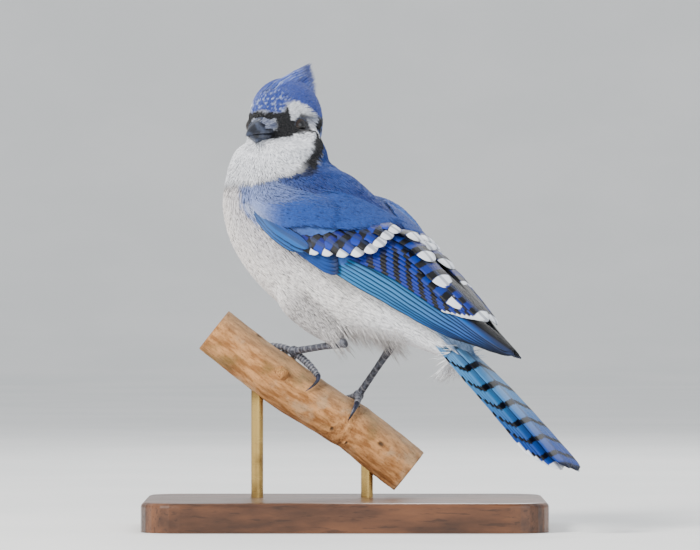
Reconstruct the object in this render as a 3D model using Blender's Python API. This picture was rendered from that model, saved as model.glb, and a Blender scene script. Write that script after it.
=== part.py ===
"""A blue jay at life size, perched on a short cut branch that two rods hold above a flat base.

Metres, +Z up. The origin is the centre of the base's underside. +X follows the branch to its lower end.
The bird faces -X and +Y, and its head is turned back over its left shoulder.
"""

import math
import random

import bmesh
import bpy
from mathutils import Matrix, Vector

MM = 0.001
GAP = 0.3
SMOOTH_ANGLE = math.radians(50)

# Stand
BASE_LONG, BASE_WIDE, BASE_TALL = 164.0, 116.0, 12.0
BASE_CORNER, BASE_EDGE = 16.0, 2.0
ROD_RADIUS = 2.5
ROD_SOCKET = 4.5
ROD_PLACES = (-36.0, 9.0)

# Branch: its middle line from the upper cut to the lower one, (x, height above the base)
BRANCH_Y = 12.0
BRANCH_LINE = ((-53.6, 68.8), (-30.4, 50.6), (-4.1, 33.0), (5.0, 27.4), (26.2, 10.6))
BRANCH_RADIUS = 10.0
BRANCH_SIDES = 16
TWIG_SHARE = 0.27

# Bird: heading, and the place of the middle of its body
HEADING = math.radians(38)
BODY_X = -9.4
BODY_Z = 112.6

# Body sections along the spine: forward, height, then half breadth, depth above and depth below the spine
SPINE = (
    (-72.0, -41.5, 7.0, 5.0, 4.6),
    (-60.0, -32.0, 12.5, 14.0, 10.2),
    (-49.0, -25.0, 17.5, 20.5, 14.3),
    (-35.0, -17.0, 22.5, 24.5, 21.0),
    (-20.0, -9.0, 27.0, 27.5, 27.0),
    (-4.0, 1.0, 30.5, 28.6, 30.5),
    (11.0, 12.5, 31.2, 28.0, 29.5),
    (19.0, 23.0, 29.5, 25.0, 26.0),
    (22.3, 34.0, 24.5, 22.0, 20.6),
    (21.5, 43.0, 19.0, 19.5, 15.5),
    (20.5, 52.0, 14.5, 15.0, 11.0),
)
BODY_SIDES = 26
NECK_CUT = 7.25
CHEEK_CUT = 8.3
RUMP_CUT = 3.3

# Head: the point between the eyes, and which way the bill points
EYE_LINE = (24.6, 0.0, 53.4)
HEAD_TURN = math.radians(103)
HEAD_NOD = math.radians(-2)
# Head sections: forward of the eyes, half breadth, top, bottom, and how square the section is
HEAD_SECTIONS = (
    (-24.0, 6.0, 9.0, -6.0),
    (-21.0, 11.0, 14.5, -12.5),
    (-16.0, 14.8, 18.0, -17.5),
    (-10.0, 16.0, 19.0, -19.5),
    (-4.5, 15.0, 18.2, -19.0),
    (0.0, 12.7, 16.4, -17.0),
    (4.0, 11.2, 13.8, -14.6),
    (8.0, 9.4, 10.4, -12.2),
    (11.5, 7.2, 6.8, -10.4),
    (14.0, 5.2, 4.0, -8.6),
)
HEAD_SIDES = 20

EYE_RADIUS = 3.9
EYE_PLACE = (-0.6, 9.41, -1.4)
LID_RING, LID_THICK = 3.35, 0.62

# Bill: forward of the eyes, half breadth, culmen height, height of the mouth line
UPPER_BILL = (
    (9.0, 4.9, 2.6, -4.2),
    (12.0, 4.6, 2.5, -4.3),
    (16.0, 3.9, 1.7, -4.3),
    (20.0, 2.9, 0.2, -4.3),
    (23.5, 1.9, -1.6, -4.5),
    (26.0, 1.0, -3.4, -4.9),
    (27.2, 0.4, -4.7, -5.5),
)
# Forward, half breadth, height of the mouth line, keel height
LOWER_BILL = (
    (9.0, 4.4, -4.5, -9.4),
    (12.0, 4.1, -4.6, -9.2),
    (16.0, 3.4, -4.6, -8.5),
    (20.0, 2.5, -4.6, -7.4),
    (23.0, 1.5, -4.7, -6.3),
    (25.4, 0.5, -4.9, -5.5),
)

# Folded wing: its lower and upper edges, from the wrist to the tip, as forward, left, up
WING_LOW = (
    (14.0, 27.0, 17.0),
    (-9.0, 31.5, 5.0),
    (-31.0, 30.0, -7.0),
    (-49.0, 24.0, -16.0),
    (-68.5, 16.5, -27.0),
    (-84.0, 9.5, -34.5),
    (-101.0, 3.6, -42.5),
)
WING_HIGH = (
    (13.0, 24.0, 30.0),
    (-9.0, 24.0, 24.0),
    (-29.0, 13.0, 16.0),
    (-46.5, 3.0, 5.0),
    (-66.0, 1.6, -9.5),
    (-83.0, 1.8, -25.0),
    (-99.0, 3.0, -40.0),
)
WING_BULGE = (2.0, 3.5, 4.5, 4.0, 2.6, 1.2, 0.3)
WING_CORE_LENGTH = 0.40
WING_CORE_DEEP = 2.6
WING_CORE_HIGH = (2.6, 5.4, 6.2, 4.6, 1.4)
WING_SETBACK = {1: 0.0, -1: 0.035}
WING_DROP = {1: 0.0, -1: 3.0}
VANE_THICK = 0.52

# Tail: root, tip, roll towards the left, and its feathers in each half
TAIL_ROOT = (-48.0, -20.0)
TAIL_TIP = (-127.5, -86.5)
TAIL_ROLL = math.radians(6)
TAIL_LEAN = math.radians(9)
TAIL_ARCH = 1.6

# Legs: where each foot grips along the branch, and the heel that its shank comes from
FOOT_GRIPS = {"left": -28.5, "right": -0.5}
HEELS = {"left": (-21.0, 15.0, -37.4), "right": (-29.8, -8.0, -38.6)}
KNEES = {"left": (-2.0, 15.5, -17.0), "right": (-12.0, -13.0, -17.0)}
SHANK_RADIUS = 1.45
HUB_RADIUS = 2.3


def clear_scene():
    for old in list(bpy.data.objects):
        bpy.data.objects.remove(old, do_unlink=True)


def collection(name):
    made = bpy.data.collections.new(name)
    bpy.context.scene.collection.children.link(made)
    return made


clear_scene()
PARTS = collection("blue_jay")
HELPERS = collection("helpers")


def material(name, colour, roughness, metallic=0.0):
    made = bpy.data.materials.new(name)
    made.use_nodes = True
    shader = made.node_tree.nodes["Principled BSDF"]
    shader.inputs["Base Color"].default_value = (*colour, 1.0)
    shader.inputs["Roughness"].default_value = roughness
    shader.inputs["Metallic"].default_value = metallic
    made.diffuse_color = (*colour, 1.0)
    return made


CROWN = material("crown_feathers", (0.16, 0.22, 0.55), 0.75)
NECK = material("neck_feathers", (0.45, 0.50, 0.68), 0.8)
BODY = material("body_feathers", (0.52, 0.50, 0.50), 0.85)
RUMP = material("rump_feathers", (0.62, 0.68, 0.78), 0.8)
WING = material("wing_feathers", (0.03, 0.14, 0.55), 0.5)
TAIL = material("tail_feathers", (0.10, 0.34, 0.66), 0.5)
HORN = material("bill_horn", (0.02, 0.022, 0.03), 0.35)
EYE = material("eye_gloss", (0.015, 0.010, 0.008), 0.08)
SCALE = material("leg_scales", (0.06, 0.06, 0.07), 0.5)
BARK = material("branch_bark", (0.36, 0.20, 0.07), 0.8)
WOOD = material("base_wood", (0.16, 0.08, 0.04), 0.4)
BRASS = material("rod_brass", (0.55, 0.40, 0.18), 0.3, 1.0)


def lerp(a, b, share):
    return tuple(x + (y - x) * share for x, y in zip(a, b))


def along(points, place):
    """A smooth reading of a list of values at a place that counts from 0 at the first to n - 1 at the last."""
    last = len(points) - 1
    i = min(max(int(math.floor(place)), 0), last - 1)
    t = place - i
    before, start = points[max(i - 1, 0)], points[i]
    end, after = points[i + 1], points[min(i + 2, last)]
    return tuple(
        0.5 * (2 * b + (c - a) * t + (2 * a - 5 * b + 4 * c - d) * t * t + (3 * b - a - 3 * c + d) * t ** 3)
        for a, b, c, d in zip(before, start, end, after)
    )


def to_world(forward, left, up):
    """A point of the bird's upright frame, in millimetres, as a world point in metres."""
    x = BODY_X - forward * math.cos(HEADING) - left * math.sin(HEADING)
    y = BRANCH_Y + forward * math.sin(HEADING) - left * math.cos(HEADING)
    return Vector((x, y, BODY_Z + up)) * MM


def head_frame():
    """The head's matrix in the bird's frame: forward, left and up, at the point between the eyes."""
    turn = Matrix.Rotation(HEAD_TURN, 4, "Z")
    nod = Matrix.Rotation(-HEAD_NOD, 4, "Y")
    return Matrix.Translation(EYE_LINE) @ turn @ nod


HEAD = head_frame()


def head_world(forward, left, up):
    return to_world(*(HEAD @ Vector((forward, left, up))))


def make_object(name, mesh, look, group=None):
    made = bpy.data.objects.new(name, mesh)
    mesh.materials.append(look)
    (group or PARTS).objects.link(made)
    return made


def closed_mesh(name, rings, tip_start=None):
    """A closed skin over rings of points, with a fan at each end, split into triangles alike all round."""
    shape = bmesh.new()
    loops = [[shape.verts.new(p) for p in ring] for ring in rings]
    count = len(rings[0])
    for ring, following in zip(loops, loops[1:]):
        for i in range(count):
            j = (i + 1) % count
            shape.faces.new((ring[i], ring[j], following[j]))
            shape.faces.new((ring[i], following[j], following[i]))
    for ring, tip, flip in ((loops[0], tip_start, True), (loops[-1], None, False)):
        middle = Vector(tip) if tip is not None else sum((v.co for v in ring), Vector()) / count
        hub = shape.verts.new(middle)
        for i in range(count):
            pair = (ring[(i + 1) % count], ring[i]) if flip else (ring[i], ring[(i + 1) % count])
            shape.faces.new((*pair, hub))
    bmesh.ops.recalc_face_normals(shape, faces=shape.faces)
    mesh = bpy.data.meshes.new(name)
    shape.to_mesh(mesh)
    shape.free()
    return mesh


def apply_modifiers(target):
    """Freezes an object's modifiers into its mesh."""
    bpy.context.view_layer.update()
    graph = bpy.context.evaluated_depsgraph_get()
    baked = bpy.data.meshes.new_from_object(target.evaluated_get(graph))
    old = target.data
    target.modifiers.clear()
    target.data = baked
    bpy.data.meshes.remove(old)


def keep_largest(target):
    """Drops all but the closed surface that holds the most."""
    shape = bmesh.new()
    shape.from_mesh(target.data)
    seen, groups = set(), []
    for start in shape.verts:
        if start in seen:
            continue
        seen.add(start)
        group, ahead = [], [start]
        while ahead:
            vert = ahead.pop()
            group.append(vert)
            for edge in vert.link_edges:
                other = edge.other_vert(vert)
                if other not in seen:
                    seen.add(other)
                    ahead.append(other)
        groups.append(group)

    def volume(group):
        faces = {face for vert in group for face in vert.link_faces}
        total = 0.0
        for face in faces:
            corners = [loop.vert.co for loop in face.loops]
            for a, b in zip(corners[1:], corners[2:]):
                total += corners[0].dot(a.cross(b))
        return abs(total)

    groups.sort(key=volume)
    loose = [vert for group in groups[:-1] for vert in group]
    bmesh.ops.delete(shape, geom=loose, context="VERTS")
    bmesh.ops.triangulate(shape, faces=shape.faces)
    shape.to_mesh(target.data)
    shape.free()


def boolean(target, others, operation, solver="MANIFOLD"):
    """One Boolean of a node with a set of closed meshes, applied, with those meshes then removed."""
    group = bpy.data.collections.new("set")
    for other in others:
        group.objects.link(other)
    step = target.modifiers.new(operation.lower(), "BOOLEAN")
    step.operation = operation
    step.solver = solver
    step.operand_type = "COLLECTION"
    step.collection = group
    apply_modifiers(target)
    for other in others:
        bpy.data.objects.remove(other, do_unlink=True)
    bpy.data.collections.remove(group)
    keep_largest(target)


def smooth(target):
    target.data.shade_smooth()
    target.data.set_sharp_from_angle(angle=SMOOTH_ANGLE)
    return target


def oval(sides, half, top, bottom, square=2.0):
    """Points round a section: to the left and up, with its own height above and depth below."""
    points = []
    for i in range(sides):
        angle = 2 * math.pi * (i + 0.5) / sides
        c, s = math.cos(angle), math.sin(angle)
        power = 2.0 / square
        left = half * math.copysign(abs(c) ** power, c)
        up = (top if s > 0 else bottom) * math.copysign(abs(s) ** power, s)
        points.append((left, up))
    return points


def spine_run(place):
    """The spine's direction at a place, forward and up."""
    ahead = along(SPINE, min(place + 0.05, len(SPINE) - 1))
    behind = along(SPINE, max(place - 0.05, 0.0))
    run, rise = ahead[0] - behind[0], ahead[1] - behind[1]
    length = math.hypot(run, rise)
    return run / length, rise / length


def spine_at(place, grow=0.0, push=0.0):
    """The body's section at a place on the spine, as world points, pushed on along the spine."""
    forward, height, half, above, below = along(SPINE, place)
    run, rise = spine_run(place)
    return [
        to_world(forward - rise * up + run * push, left, height + run * up + rise * push)
        for left, up in oval(BODY_SIDES, half + grow, above + grow, below + grow)
    ]


def body_form(name, start, end, grow=0.0, gap=0.0, per_section=2.0, look=None, group=None):
    """The body's skin between two places on the spine, with a thin cut left free at the start."""
    steps = max(2, round((end - start) * per_section))
    rings = []
    for i in range(steps + 1):
        push = grow if i == steps else gap - grow if i == 0 else 0.0
        rings.append(spine_at(start + (end - start) * i / steps, grow, push))
    return make_object(name, closed_mesh(name, rings), look or BODY, group or HELPERS)


def head_form(name, grow=0.0, group=None):
    steps = round((len(HEAD_SECTIONS) - 1) * 1.5)
    rings = []
    for i in range(steps + 1):
        forward, half, top, bottom = along(HEAD_SECTIONS, i / 1.5)
        middle = (top + bottom) / 2
        rings.append([
            head_world(forward + grow * (i == steps) - grow * (i == 0), left, middle + up)
            for left, up in oval(HEAD_SIDES, half + grow, top - middle + grow, middle - bottom + grow)
        ])
    back = head_world(HEAD_SECTIONS[0][0] - 1.2 - grow, 0, 1.0)
    return make_object(name, closed_mesh(name, rings, tip_start=back), CROWN, group or HELPERS)


def vane(name, centres, normals, widths, thick, look, rise=None, lean=0.0):
    """A feather's blade along a line of points, thin across its normals, with a width at each point.
    It leans inwards on the side that rise points to. Both faces are split along the same diagonals."""
    shape = bmesh.new()
    rings = []
    last = len(centres) - 1
    for i, (point, normal, width) in enumerate(zip(centres, normals, widths)):
        ahead = centres[min(i + 1, last)] - centres[max(i - 1, 0)]
        across = ahead.cross(normal).normalized()
        if rise is not None and across.dot(rise) < 0:
            across = -across
        normal = (normal - ahead * normal.dot(ahead) / ahead.length_squared).normalized()
        tilt = normal * math.cos(lean) + across * math.sin(lean)
        across = across * math.cos(lean) - normal * math.sin(lean)
        half_width = across * width / 2
        half_thick = tilt * thick * (1.15 - 0.3 * i / last) / 2
        low, high = -half_thick, half_thick
        corners = (low - half_width, low + half_width, high + half_width, high - half_width)
        rings.append([shape.verts.new(point + corner) for corner in corners])
    for ring, following in zip(rings, rings[1:]):
        for a, b in ((0, 1), (3, 2), (1, 2), (0, 3)):
            shape.faces.new((ring[a], ring[b], following[b]))
            shape.faces.new((ring[a], following[b], following[a]))
    for ring in (rings[0], rings[-1]):
        shape.faces.new((ring[0], ring[1], ring[2]))
        shape.faces.new((ring[0], ring[2], ring[3]))
    bmesh.ops.recalc_face_normals(shape, faces=shape.faces)
    mesh = bpy.data.meshes.new(name)
    shape.to_mesh(mesh)
    shape.free()
    return make_object(name, mesh, look, HELPERS)


def blade_width(t, round_tip=0.82):
    """How wide a feather is along its length, as a share of its greatest width."""
    swell = min(1.0, 0.45 + 1.6 * t) if t < 0.35 else 1.0
    if t <= round_tip:
        return swell
    end = (t - round_tip) / (1 - round_tip)
    return swell * math.sqrt(max(0.03, 1 - end * end))


def wing_surface(share, across):
    """A point of the left wing's bare surface: 0 to 1 from wrist to tip, 0 to 1 from lower to upper edge."""
    place = share * (len(WING_LOW) - 1)
    low, high = Vector(along(WING_LOW, place)), Vector(along(WING_HIGH, place))
    ahead = Vector(along(WING_LOW, min(place + 0.1, 6.0))) - Vector(along(WING_LOW, max(place - 0.1, 0.0)))
    outward = ahead.cross(high - low).normalized()
    if outward.y < 0:
        outward = -outward
    bulge = along([(b,) for b in WING_BULGE], place)[0]
    return low.lerp(high, across) + outward * bulge * 4 * across * (1 - across)


def wing_point(share, across, lift=0.0):
    """A point above the wing's surface, with the direction out of the surface and the one to its upper edge."""
    step = 0.02
    ahead = wing_surface(min(share + step, 1.0), across) - wing_surface(max(share - step, 0.0), across)
    rise = wing_surface(share, across + step) - wing_surface(share, across - step)
    outward = ahead.cross(rise).normalized()
    if outward.y < 0:
        outward = -outward
    return wing_surface(share, across) + outward * lift, outward, rise


def wing_vane(side, name, root, tip, width, lifts, lean, points, round_tip):
    """A flight feather or covert that lies on the folded wing from root to tip, each (along, across).
    Its lower edge lies on the feather below and its upper edge goes under the one above."""
    centres, normals, widths = [], [], []
    for i in range(points):
        t = (i / (points - 1)) ** 0.8
        share, across = lerp(root, tip, t)
        share *= 1 - WING_SETBACK[side] * share
        lift = lifts[0] + (lifts[1] - lifts[0]) * min(1.0, 2.0 * t)
        point, outward, rise = wing_point(share, across, lift)
        for arrow in (point, outward, rise):
            arrow.y *= side
        point.z -= WING_DROP[side]
        centres.append(to_world(*point))
        normals.append((to_world(*(point + outward)) - centres[-1]).normalized())
        widths.append(width * blade_width(t, round_tip) * MM)
    upward = to_world(*(point + rise)) - centres[-1]
    return vane(name, centres, normals, widths, VANE_THICK * MM, WING, upward, math.radians(lean))


def wing_core(side):
    """The arm and the skin of the wing: thick at the wrist, and a thin edge that the long feathers leave."""
    count_long, count_wide = 10, 6
    rings = []
    for i in range(count_long + 1):
        share = WING_CORE_LENGTH * i / count_long
        high = along([(h,) for h in WING_CORE_HIGH], 4.0 * i / count_long)[0]
        deep = WING_CORE_DEEP * (1 - 0.55 * i / count_long)
        outer, inner = [], []
        for j in range(count_wide + 1):
            across = j / count_wide
            round_off = 0.30 + 0.70 * math.sqrt(4 * across * (1 - across))
            front = 0.55 if i == 0 else 1.0
            for points, lift in ((outer, high * round_off * front), (inner, -deep * round_off * front)):
                point = wing_point(share, across, lift)[0]
                points.append(to_world(point.x, point.y * side, point.z - WING_DROP[side]))
        rings.append(outer + inner[::-1])
    return make_object(f"core_{side}", closed_mesh("core", rings), WING, HELPERS)


# Feather tiers of a folded wing: how many, first and last root, first and last tip, first and last width,
# lift at the root, first and last lift further out, lean, points, and where the tip starts to round
WING_TIERS = {
    "primary": (7, (0.22, 0.10), (0.28, 0.40), None, None, 8.0, 8.0, 0.2, -2.0, 1.3, 16, 7, 0.84),
    "secondary": (5, (0.22, 0.42), (0.26, 0.70), (0.84, 0.46), (0.80, 0.76), 9.0, 10.5, 1.2, 1.9, 3.5, 15, 6, 0.86),
    "tertial": (3, (0.20, 0.72), (0.22, 0.90), (0.765, 0.80), (0.60, 0.90), 11.5, 11.5, 2.4, 4.4, 6.0, 13, 6, 0.78),
    "primary_covert": (3, (0.10, 0.10), (0.13, 0.28), (0.37, 0.10), (0.375, 0.28), 5.5, 5.5, 2.2, 1.6, 3.2, 12, 5, 0.80),
    "greater_covert": (6, (0.16, 0.36), (0.21, 0.92), (0.345, 0.44), (0.44, 0.96), 6.5, 7.5, 3.0, 5.6, 7.8, 12, 4, 0.74),
    "median_covert": (4, (0.07, 0.42), (0.12, 0.84), (0.235, 0.46), (0.32, 0.92), 7.5, 8.0, 4.6, 7.0, 8.6, 12, 4, 0.66),
    "alula": (2, (0.03, 0.12), (0.05, 0.30), (0.235, 0.08), (0.26, 0.24), 5.5, 6.0, 2.4, 3.8, 5.0, 12, 4, 0.74),
}
# The primaries' tips, as (along, across), from the outermost, lowest feather inwards
PRIMARY_TIPS = ((0.905, 0.10), (0.95, 0.20), (0.985, 0.35), (1.0, 0.55), (0.975, 0.55), (0.935, 0.52), (0.89, 0.48))


def wing(side_name, side):
    core = wing_core(side)
    vanes = []
    for tier, row in WING_TIERS.items():
        count, root_a, root_b, tip_a, tip_b, wide_a, wide_b, sunk, lift_a, lift_b, lean, points, round_tip = row
        for i in range(count):
            t = i / (count - 1)
            tip = PRIMARY_TIPS[i] if tier == "primary" else lerp(tip_a, tip_b, t)
            root = lerp(root_a, root_b, t)
            width = wide_a + (wide_b - wide_a) * t
            lifts = (sunk, lift_a + (lift_b - lift_a) * t)
            vanes.append(wing_vane(side, f"{tier}_{i}", root, tip, width, lifts, lean, points, round_tip))
    core.name = f"wing_{side_name}"
    boolean(core, vanes, "UNION")
    return core


def cutting_box(name, corner_low, corner_high, place):
    """A box whose corners are in the bird's frame, for cutting at the middle plane or across the body."""
    shape = bmesh.new()
    bmesh.ops.create_cube(shape, size=1.0)
    low, high = Vector(corner_low), Vector(corner_high)
    for vert in shape.verts:
        share = vert.co + Vector((0.5, 0.5, 0.5))
        vert.co = place(*(low[k] + (high[k] - low[k]) * share[k] for k in range(3)))
    bmesh.ops.recalc_face_normals(shape, faces=shape.faces)
    mesh = bpy.data.meshes.new(name)
    shape.to_mesh(mesh)
    shape.free()
    return make_object(name, mesh, BODY, HELPERS)


def ball(name, centre, radius, look, group=None, segments=16, rings=10):
    shape = bmesh.new()
    bmesh.ops.create_uvsphere(shape, u_segments=segments, v_segments=rings, radius=radius * MM)
    bmesh.ops.translate(shape, verts=shape.verts, vec=centre)
    mesh = bpy.data.meshes.new(name)
    shape.to_mesh(mesh)
    shape.free()
    return make_object(name, mesh, look, group or HELPERS)


def rod_between(name, start, end, radii, look, group=None, sides=12):
    """A round, straight rod between two world points, with a radius at each end."""
    axis = end - start
    shape = bmesh.new()
    bmesh.ops.create_cone(
        shape,
        cap_ends=True,
        segments=sides,
        radius1=radii[0] * MM,
        radius2=radii[1] * MM,
        depth=axis.length,
    )
    bmesh.ops.rotate(shape, verts=shape.verts, matrix=axis.to_track_quat("Z", "Y").to_matrix())
    bmesh.ops.translate(shape, verts=shape.verts, vec=(start + end) / 2)
    mesh = bpy.data.meshes.new(name)
    shape.to_mesh(mesh)
    shape.free()
    return make_object(name, mesh, look, group or HELPERS)


def share_at(x):
    """The place along the branch that stands above an x of the base."""
    low, high = 0.0, 1.0
    for _ in range(30):
        middle = (low + high) / 2
        if branch_axis(middle).x / MM < x:
            low = middle
        else:
            high = middle
    return low


def branch_axis(share):
    """The branch's middle line, 0 at its upper cut and 1 at its lower one, as a world point."""
    x, height = along(BRANCH_LINE, share * (len(BRANCH_LINE) - 1))
    return Vector((x, BRANCH_Y, height + BASE_TALL)) * MM


def branch_run(share):
    return (branch_axis(min(share + 0.02, 1.0)) - branch_axis(max(share - 0.02, 0.0))).normalized()


def branch_length():
    points = [branch_axis(i / 40) for i in range(41)]
    return sum((b - a).length for a, b in zip(points, points[1:])) / MM


def on_branch(share, distance, angle, height):
    """A point above the bark: a distance in mm down the branch from a share of it, and an angle from
    the branch's upper side towards the viewer's side."""
    place = share + distance / branch_length()
    run = branch_run(place)
    side = Vector((0, -1, 0))
    top = side.cross(run).normalized()
    if top.z < 0:
        top = -top
    out = top * math.cos(angle) + side * math.sin(angle)
    return branch_axis(place) + out * (bark_radius(place) + height) * MM


def bark_radius(share):
    """The branch swells a little where twigs once grew."""
    upper = 0.5 * math.exp(-((share - TWIG_SHARE) / 0.07) ** 2)
    lower = 0.35 * math.exp(-((share - 0.88) / 0.08) ** 2)
    return BRANCH_RADIUS + upper + lower


def branch():
    steps = 16
    rings = []
    for i in range(steps + 1):
        share = i / steps
        run = branch_run(share)
        side = Vector((0, -1, 0))
        top = side.cross(run).normalized()
        rings.append([
            branch_axis(share) + (side * math.cos(a) + top * math.sin(a)) * bark_radius(share) * MM
            for a in (2 * math.pi * k / BRANCH_SIDES for k in range(BRANCH_SIDES))
        ])
    made = make_object("perch_branch", closed_mesh("perch_branch", rings), BARK)
    knot = on_branch(TWIG_SHARE, -0.5, math.radians(72), -2.0)
    bud = rod_between("knot", knot, on_branch(TWIG_SHARE, 2.5, math.radians(74), 1.5), (2.6, 1.9), BARK, sides=9)
    boolean(made, [bud], "UNION")
    sockets = []
    for x in ROD_PLACES:
        centre = branch_axis(share_at(x))
        low = Vector((centre.x, centre.y, 0.0))
        top = centre - Vector((0, 0, ROD_SOCKET * MM))
        sockets.append(rod_between("socket", low, top, (ROD_RADIUS + GAP,) * 2, BARK, sides=16))
    boolean(made, sockets, "DIFFERENCE")
    return made


def stand():
    shape = bmesh.new()
    bmesh.ops.create_cube(shape, size=1.0)
    bmesh.ops.scale(shape, vec=Vector((BASE_LONG, BASE_WIDE, BASE_TALL)) * MM, verts=shape.verts)
    bmesh.ops.translate(shape, vec=Vector((0, 0, BASE_TALL * MM / 2)), verts=shape.verts)
    upright = [e for e in shape.edges if abs((e.verts[0].co - e.verts[1].co).z) > 0.5 * BASE_TALL * MM]
    round_off = {"profile": 0.5, "affect": "EDGES", "material": -1}
    bmesh.ops.bevel(shape, geom=upright, offset=BASE_CORNER * MM, segments=6, **round_off)
    rim = [
        e for e in shape.edges
        if min(v.co.z for v in e.verts) > BASE_TALL * MM * 0.99 and any(abs(f.normal.z) < 0.5 for f in e.link_faces)
    ]
    bmesh.ops.bevel(shape, geom=rim, offset=BASE_EDGE * MM, segments=3, **round_off)
    mesh = bpy.data.meshes.new("stand_base")
    shape.to_mesh(mesh)
    shape.free()
    base = make_object("stand_base", mesh, WOOD)
    sockets = []
    for i, x in enumerate(ROD_PLACES):
        centre = branch_axis(share_at(x))
        foot = Vector((centre.x, centre.y, (BASE_TALL - 6.0) * MM))
        above = foot + Vector((0, 0, 0.02))
        sockets.append(rod_between("socket", foot, above, (ROD_RADIUS + GAP,) * 2, WOOD, sides=16))
        top = centre - Vector((0, 0, (ROD_SOCKET + GAP) * MM))
        bottom = foot + Vector((0, 0, GAP * MM))
        rod_between(f"stand_rod_{i + 1}", bottom, top, (ROD_RADIUS,) * 2, BRASS, PARTS, sides=16)
    boolean(base, sockets, "DIFFERENCE")


def eyes_and_head():
    """The head with its cheeks and throat, down to the necklace."""
    head = head_form("head", group=PARTS)
    cheeks = body_form("cheeks", CHEEK_CUT, len(SPINE) - 1, gap=GAP, look=NECK)
    lids, hollows = [cheeks], []
    for name, side in (("left", 1), ("right", -1)):
        forward, out, up = EYE_PLACE
        centre = head_world(forward, out * side, up)
        ball(f"eye_{name}", centre, EYE_RADIUS, EYE, PARTS, 16, 10)
        hollows.append(ball("hollow", centre, EYE_RADIUS + GAP, EYE, None, 16, 10))
        lids.append(lid_ring(side))
    boolean(head, lids + crest_vanes(), "UNION")
    boolean(head, hollows + [bill_hollow()], "DIFFERENCE")
    return head


def lid_ring(side):
    """The bare rim of the lids: a ring that lies round the eye, on the cheek."""
    forward, out, up = EYE_PLACE
    look_out = Vector((0.34, side * 0.94, 0.04)).normalized()
    across = Vector((0, 0, 1)).cross(look_out).normalized()
    rise = look_out.cross(across)
    centre = Vector((forward, out * side, up)) + look_out * 2.3
    sides, tube = 16, 6
    shape = bmesh.new()
    loops = []
    for i in range(sides):
        a = 2 * math.pi * i / sides
        out_dir = across * math.cos(a) * 1.04 + rise * math.sin(a) * 0.94
        ring = []
        for k in range(tube):
            b = 2 * math.pi * k / tube
            point = centre + out_dir * (LID_RING + LID_THICK * math.cos(b)) + look_out * LID_THICK * math.sin(b)
            ring.append(shape.verts.new(head_world(*point)))
        loops.append(ring)
    for ring, following in zip(loops, loops[1:] + loops[:1]):
        for k in range(tube):
            j = (k + 1) % tube
            shape.faces.new((ring[k], ring[j], following[j], following[k]))
    bmesh.ops.recalc_face_normals(shape, faces=shape.faces)
    mesh = bpy.data.meshes.new("lid")
    shape.to_mesh(mesh)
    shape.free()
    return make_object("lid", mesh, CROWN, HELPERS)


# Crest rows: forward and height of the roots, forward and height of the tips, spread to each side, feathers, width
CREST_ROWS = (
    (-2.0, 13.5, -27.0, 26.0, 3.6, 3, 5.4),
    (-6.0, 12.5, -29.0, 21.0, 5.6, 4, 5.8),
    (-11.0, 10.0, -28.5, 14.5, 7.0, 4, 6.4),
)


def crest_vanes():
    """The crest, feather by feather, swept up and back from the crown."""
    draw = random.Random(4)
    vanes = []
    for row, (root_f, root_u, tip_f, tip_u, spread, count, width) in enumerate(CREST_ROWS):
        for i in range(count):
            share = (2 * i / (count - 1) - 1) if count > 1 else 0.0
            reach = 1 - 0.12 * abs(share) + draw.uniform(-0.05, 0.05)
            root = Vector((root_f, spread * share * 0.8, root_u - 1.5 * share * share))
            tip = Vector((
                root_f + (tip_f - root_f) * reach,
                spread * share * (0.85 + 0.1 * row),
                root_u + (tip_u - root_u) * reach - 2.0 * share * share,
            ))
            middle = root.lerp(tip, 0.5) + Vector((0, 0, 3.6 - 0.8 * row))
            centres, normals, widths = [], [], []
            for k in range(6):
                t = k / 5
                point = root * (1 - t) ** 2 + middle * 2 * t * (1 - t) + tip * t * t
                outward = Vector((0.25 - 0.25 * row, share * 0.9, 1.0))
                centres.append(head_world(*point))
                normals.append((head_world(*(point + outward)) - head_world(*point)).normalized())
                widths.append(width * (0.75 + 0.25 * t) * math.sqrt(max(0.02, 1 - t ** 3)) * MM)
            vanes.append(vane(f"crest_{row}_{i}", centres, normals, widths, 0.7 * MM, CROWN))
    return vanes


def bill_ring(forward, half, top, bottom, flat_low, grow):
    """A section of one half of the bill, flat along the mouth line."""
    points = []
    sides = 12
    for i in range(sides):
        angle = math.pi * i / (sides - 1)
        left = (half + grow) * math.cos(angle) * (1.0 - 0.12 * math.sin(angle))
        rise = math.sin(angle) ** 0.8
        up = bottom + (top - bottom + grow) * rise if flat_low else top - (top - bottom + grow) * rise
        points.append(head_world(forward, left, up))
    return points


def upper_bill(name, grow=0.0, group=None):
    count = len(UPPER_BILL) - 1
    rings = []
    for i in range(count + 1):
        forward, half, culmen, mouth = UPPER_BILL[i]
        rings.append(bill_ring(forward - grow * (i == 0), half, culmen, mouth - grow, True, grow))
    return make_object(name, closed_mesh(name, rings), HORN, group or HELPERS)


def lower_bill(name, grow=0.0, group=None):
    count = len(LOWER_BILL) - 1
    rings = []
    for i in range(count + 1):
        forward, half, mouth, keel = LOWER_BILL[i]
        rings.append(bill_ring(forward - grow * (i == 0), half, mouth + grow, keel, False, grow))
    return make_object(name, closed_mesh(name, rings), HORN, group or HELPERS)


def bill_hollow():
    """The room that both halves of the bill take in the face."""
    upper = upper_bill("hollow_upper", GAP)
    lower = lower_bill("hollow_lower", GAP)
    boolean(upper, [lower], "UNION")
    upper.name = "hollow_bill"
    return upper


def neck_and_torso():
    """The neck under the cheeks, the torso and the rump, parted by thin cuts across the spine."""
    neck = body_form("neck", NECK_CUT, CHEEK_CUT, gap=GAP, look=NECK, group=PARTS)
    boolean(neck, [head_form("hollow_head", GAP)], "DIFFERENCE")
    body_form("torso", RUMP_CUT, NECK_CUT, gap=GAP, look=BODY, group=PARTS)
    body_form("rump", 0.0, RUMP_CUT, look=RUMP, group=PARTS)


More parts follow.
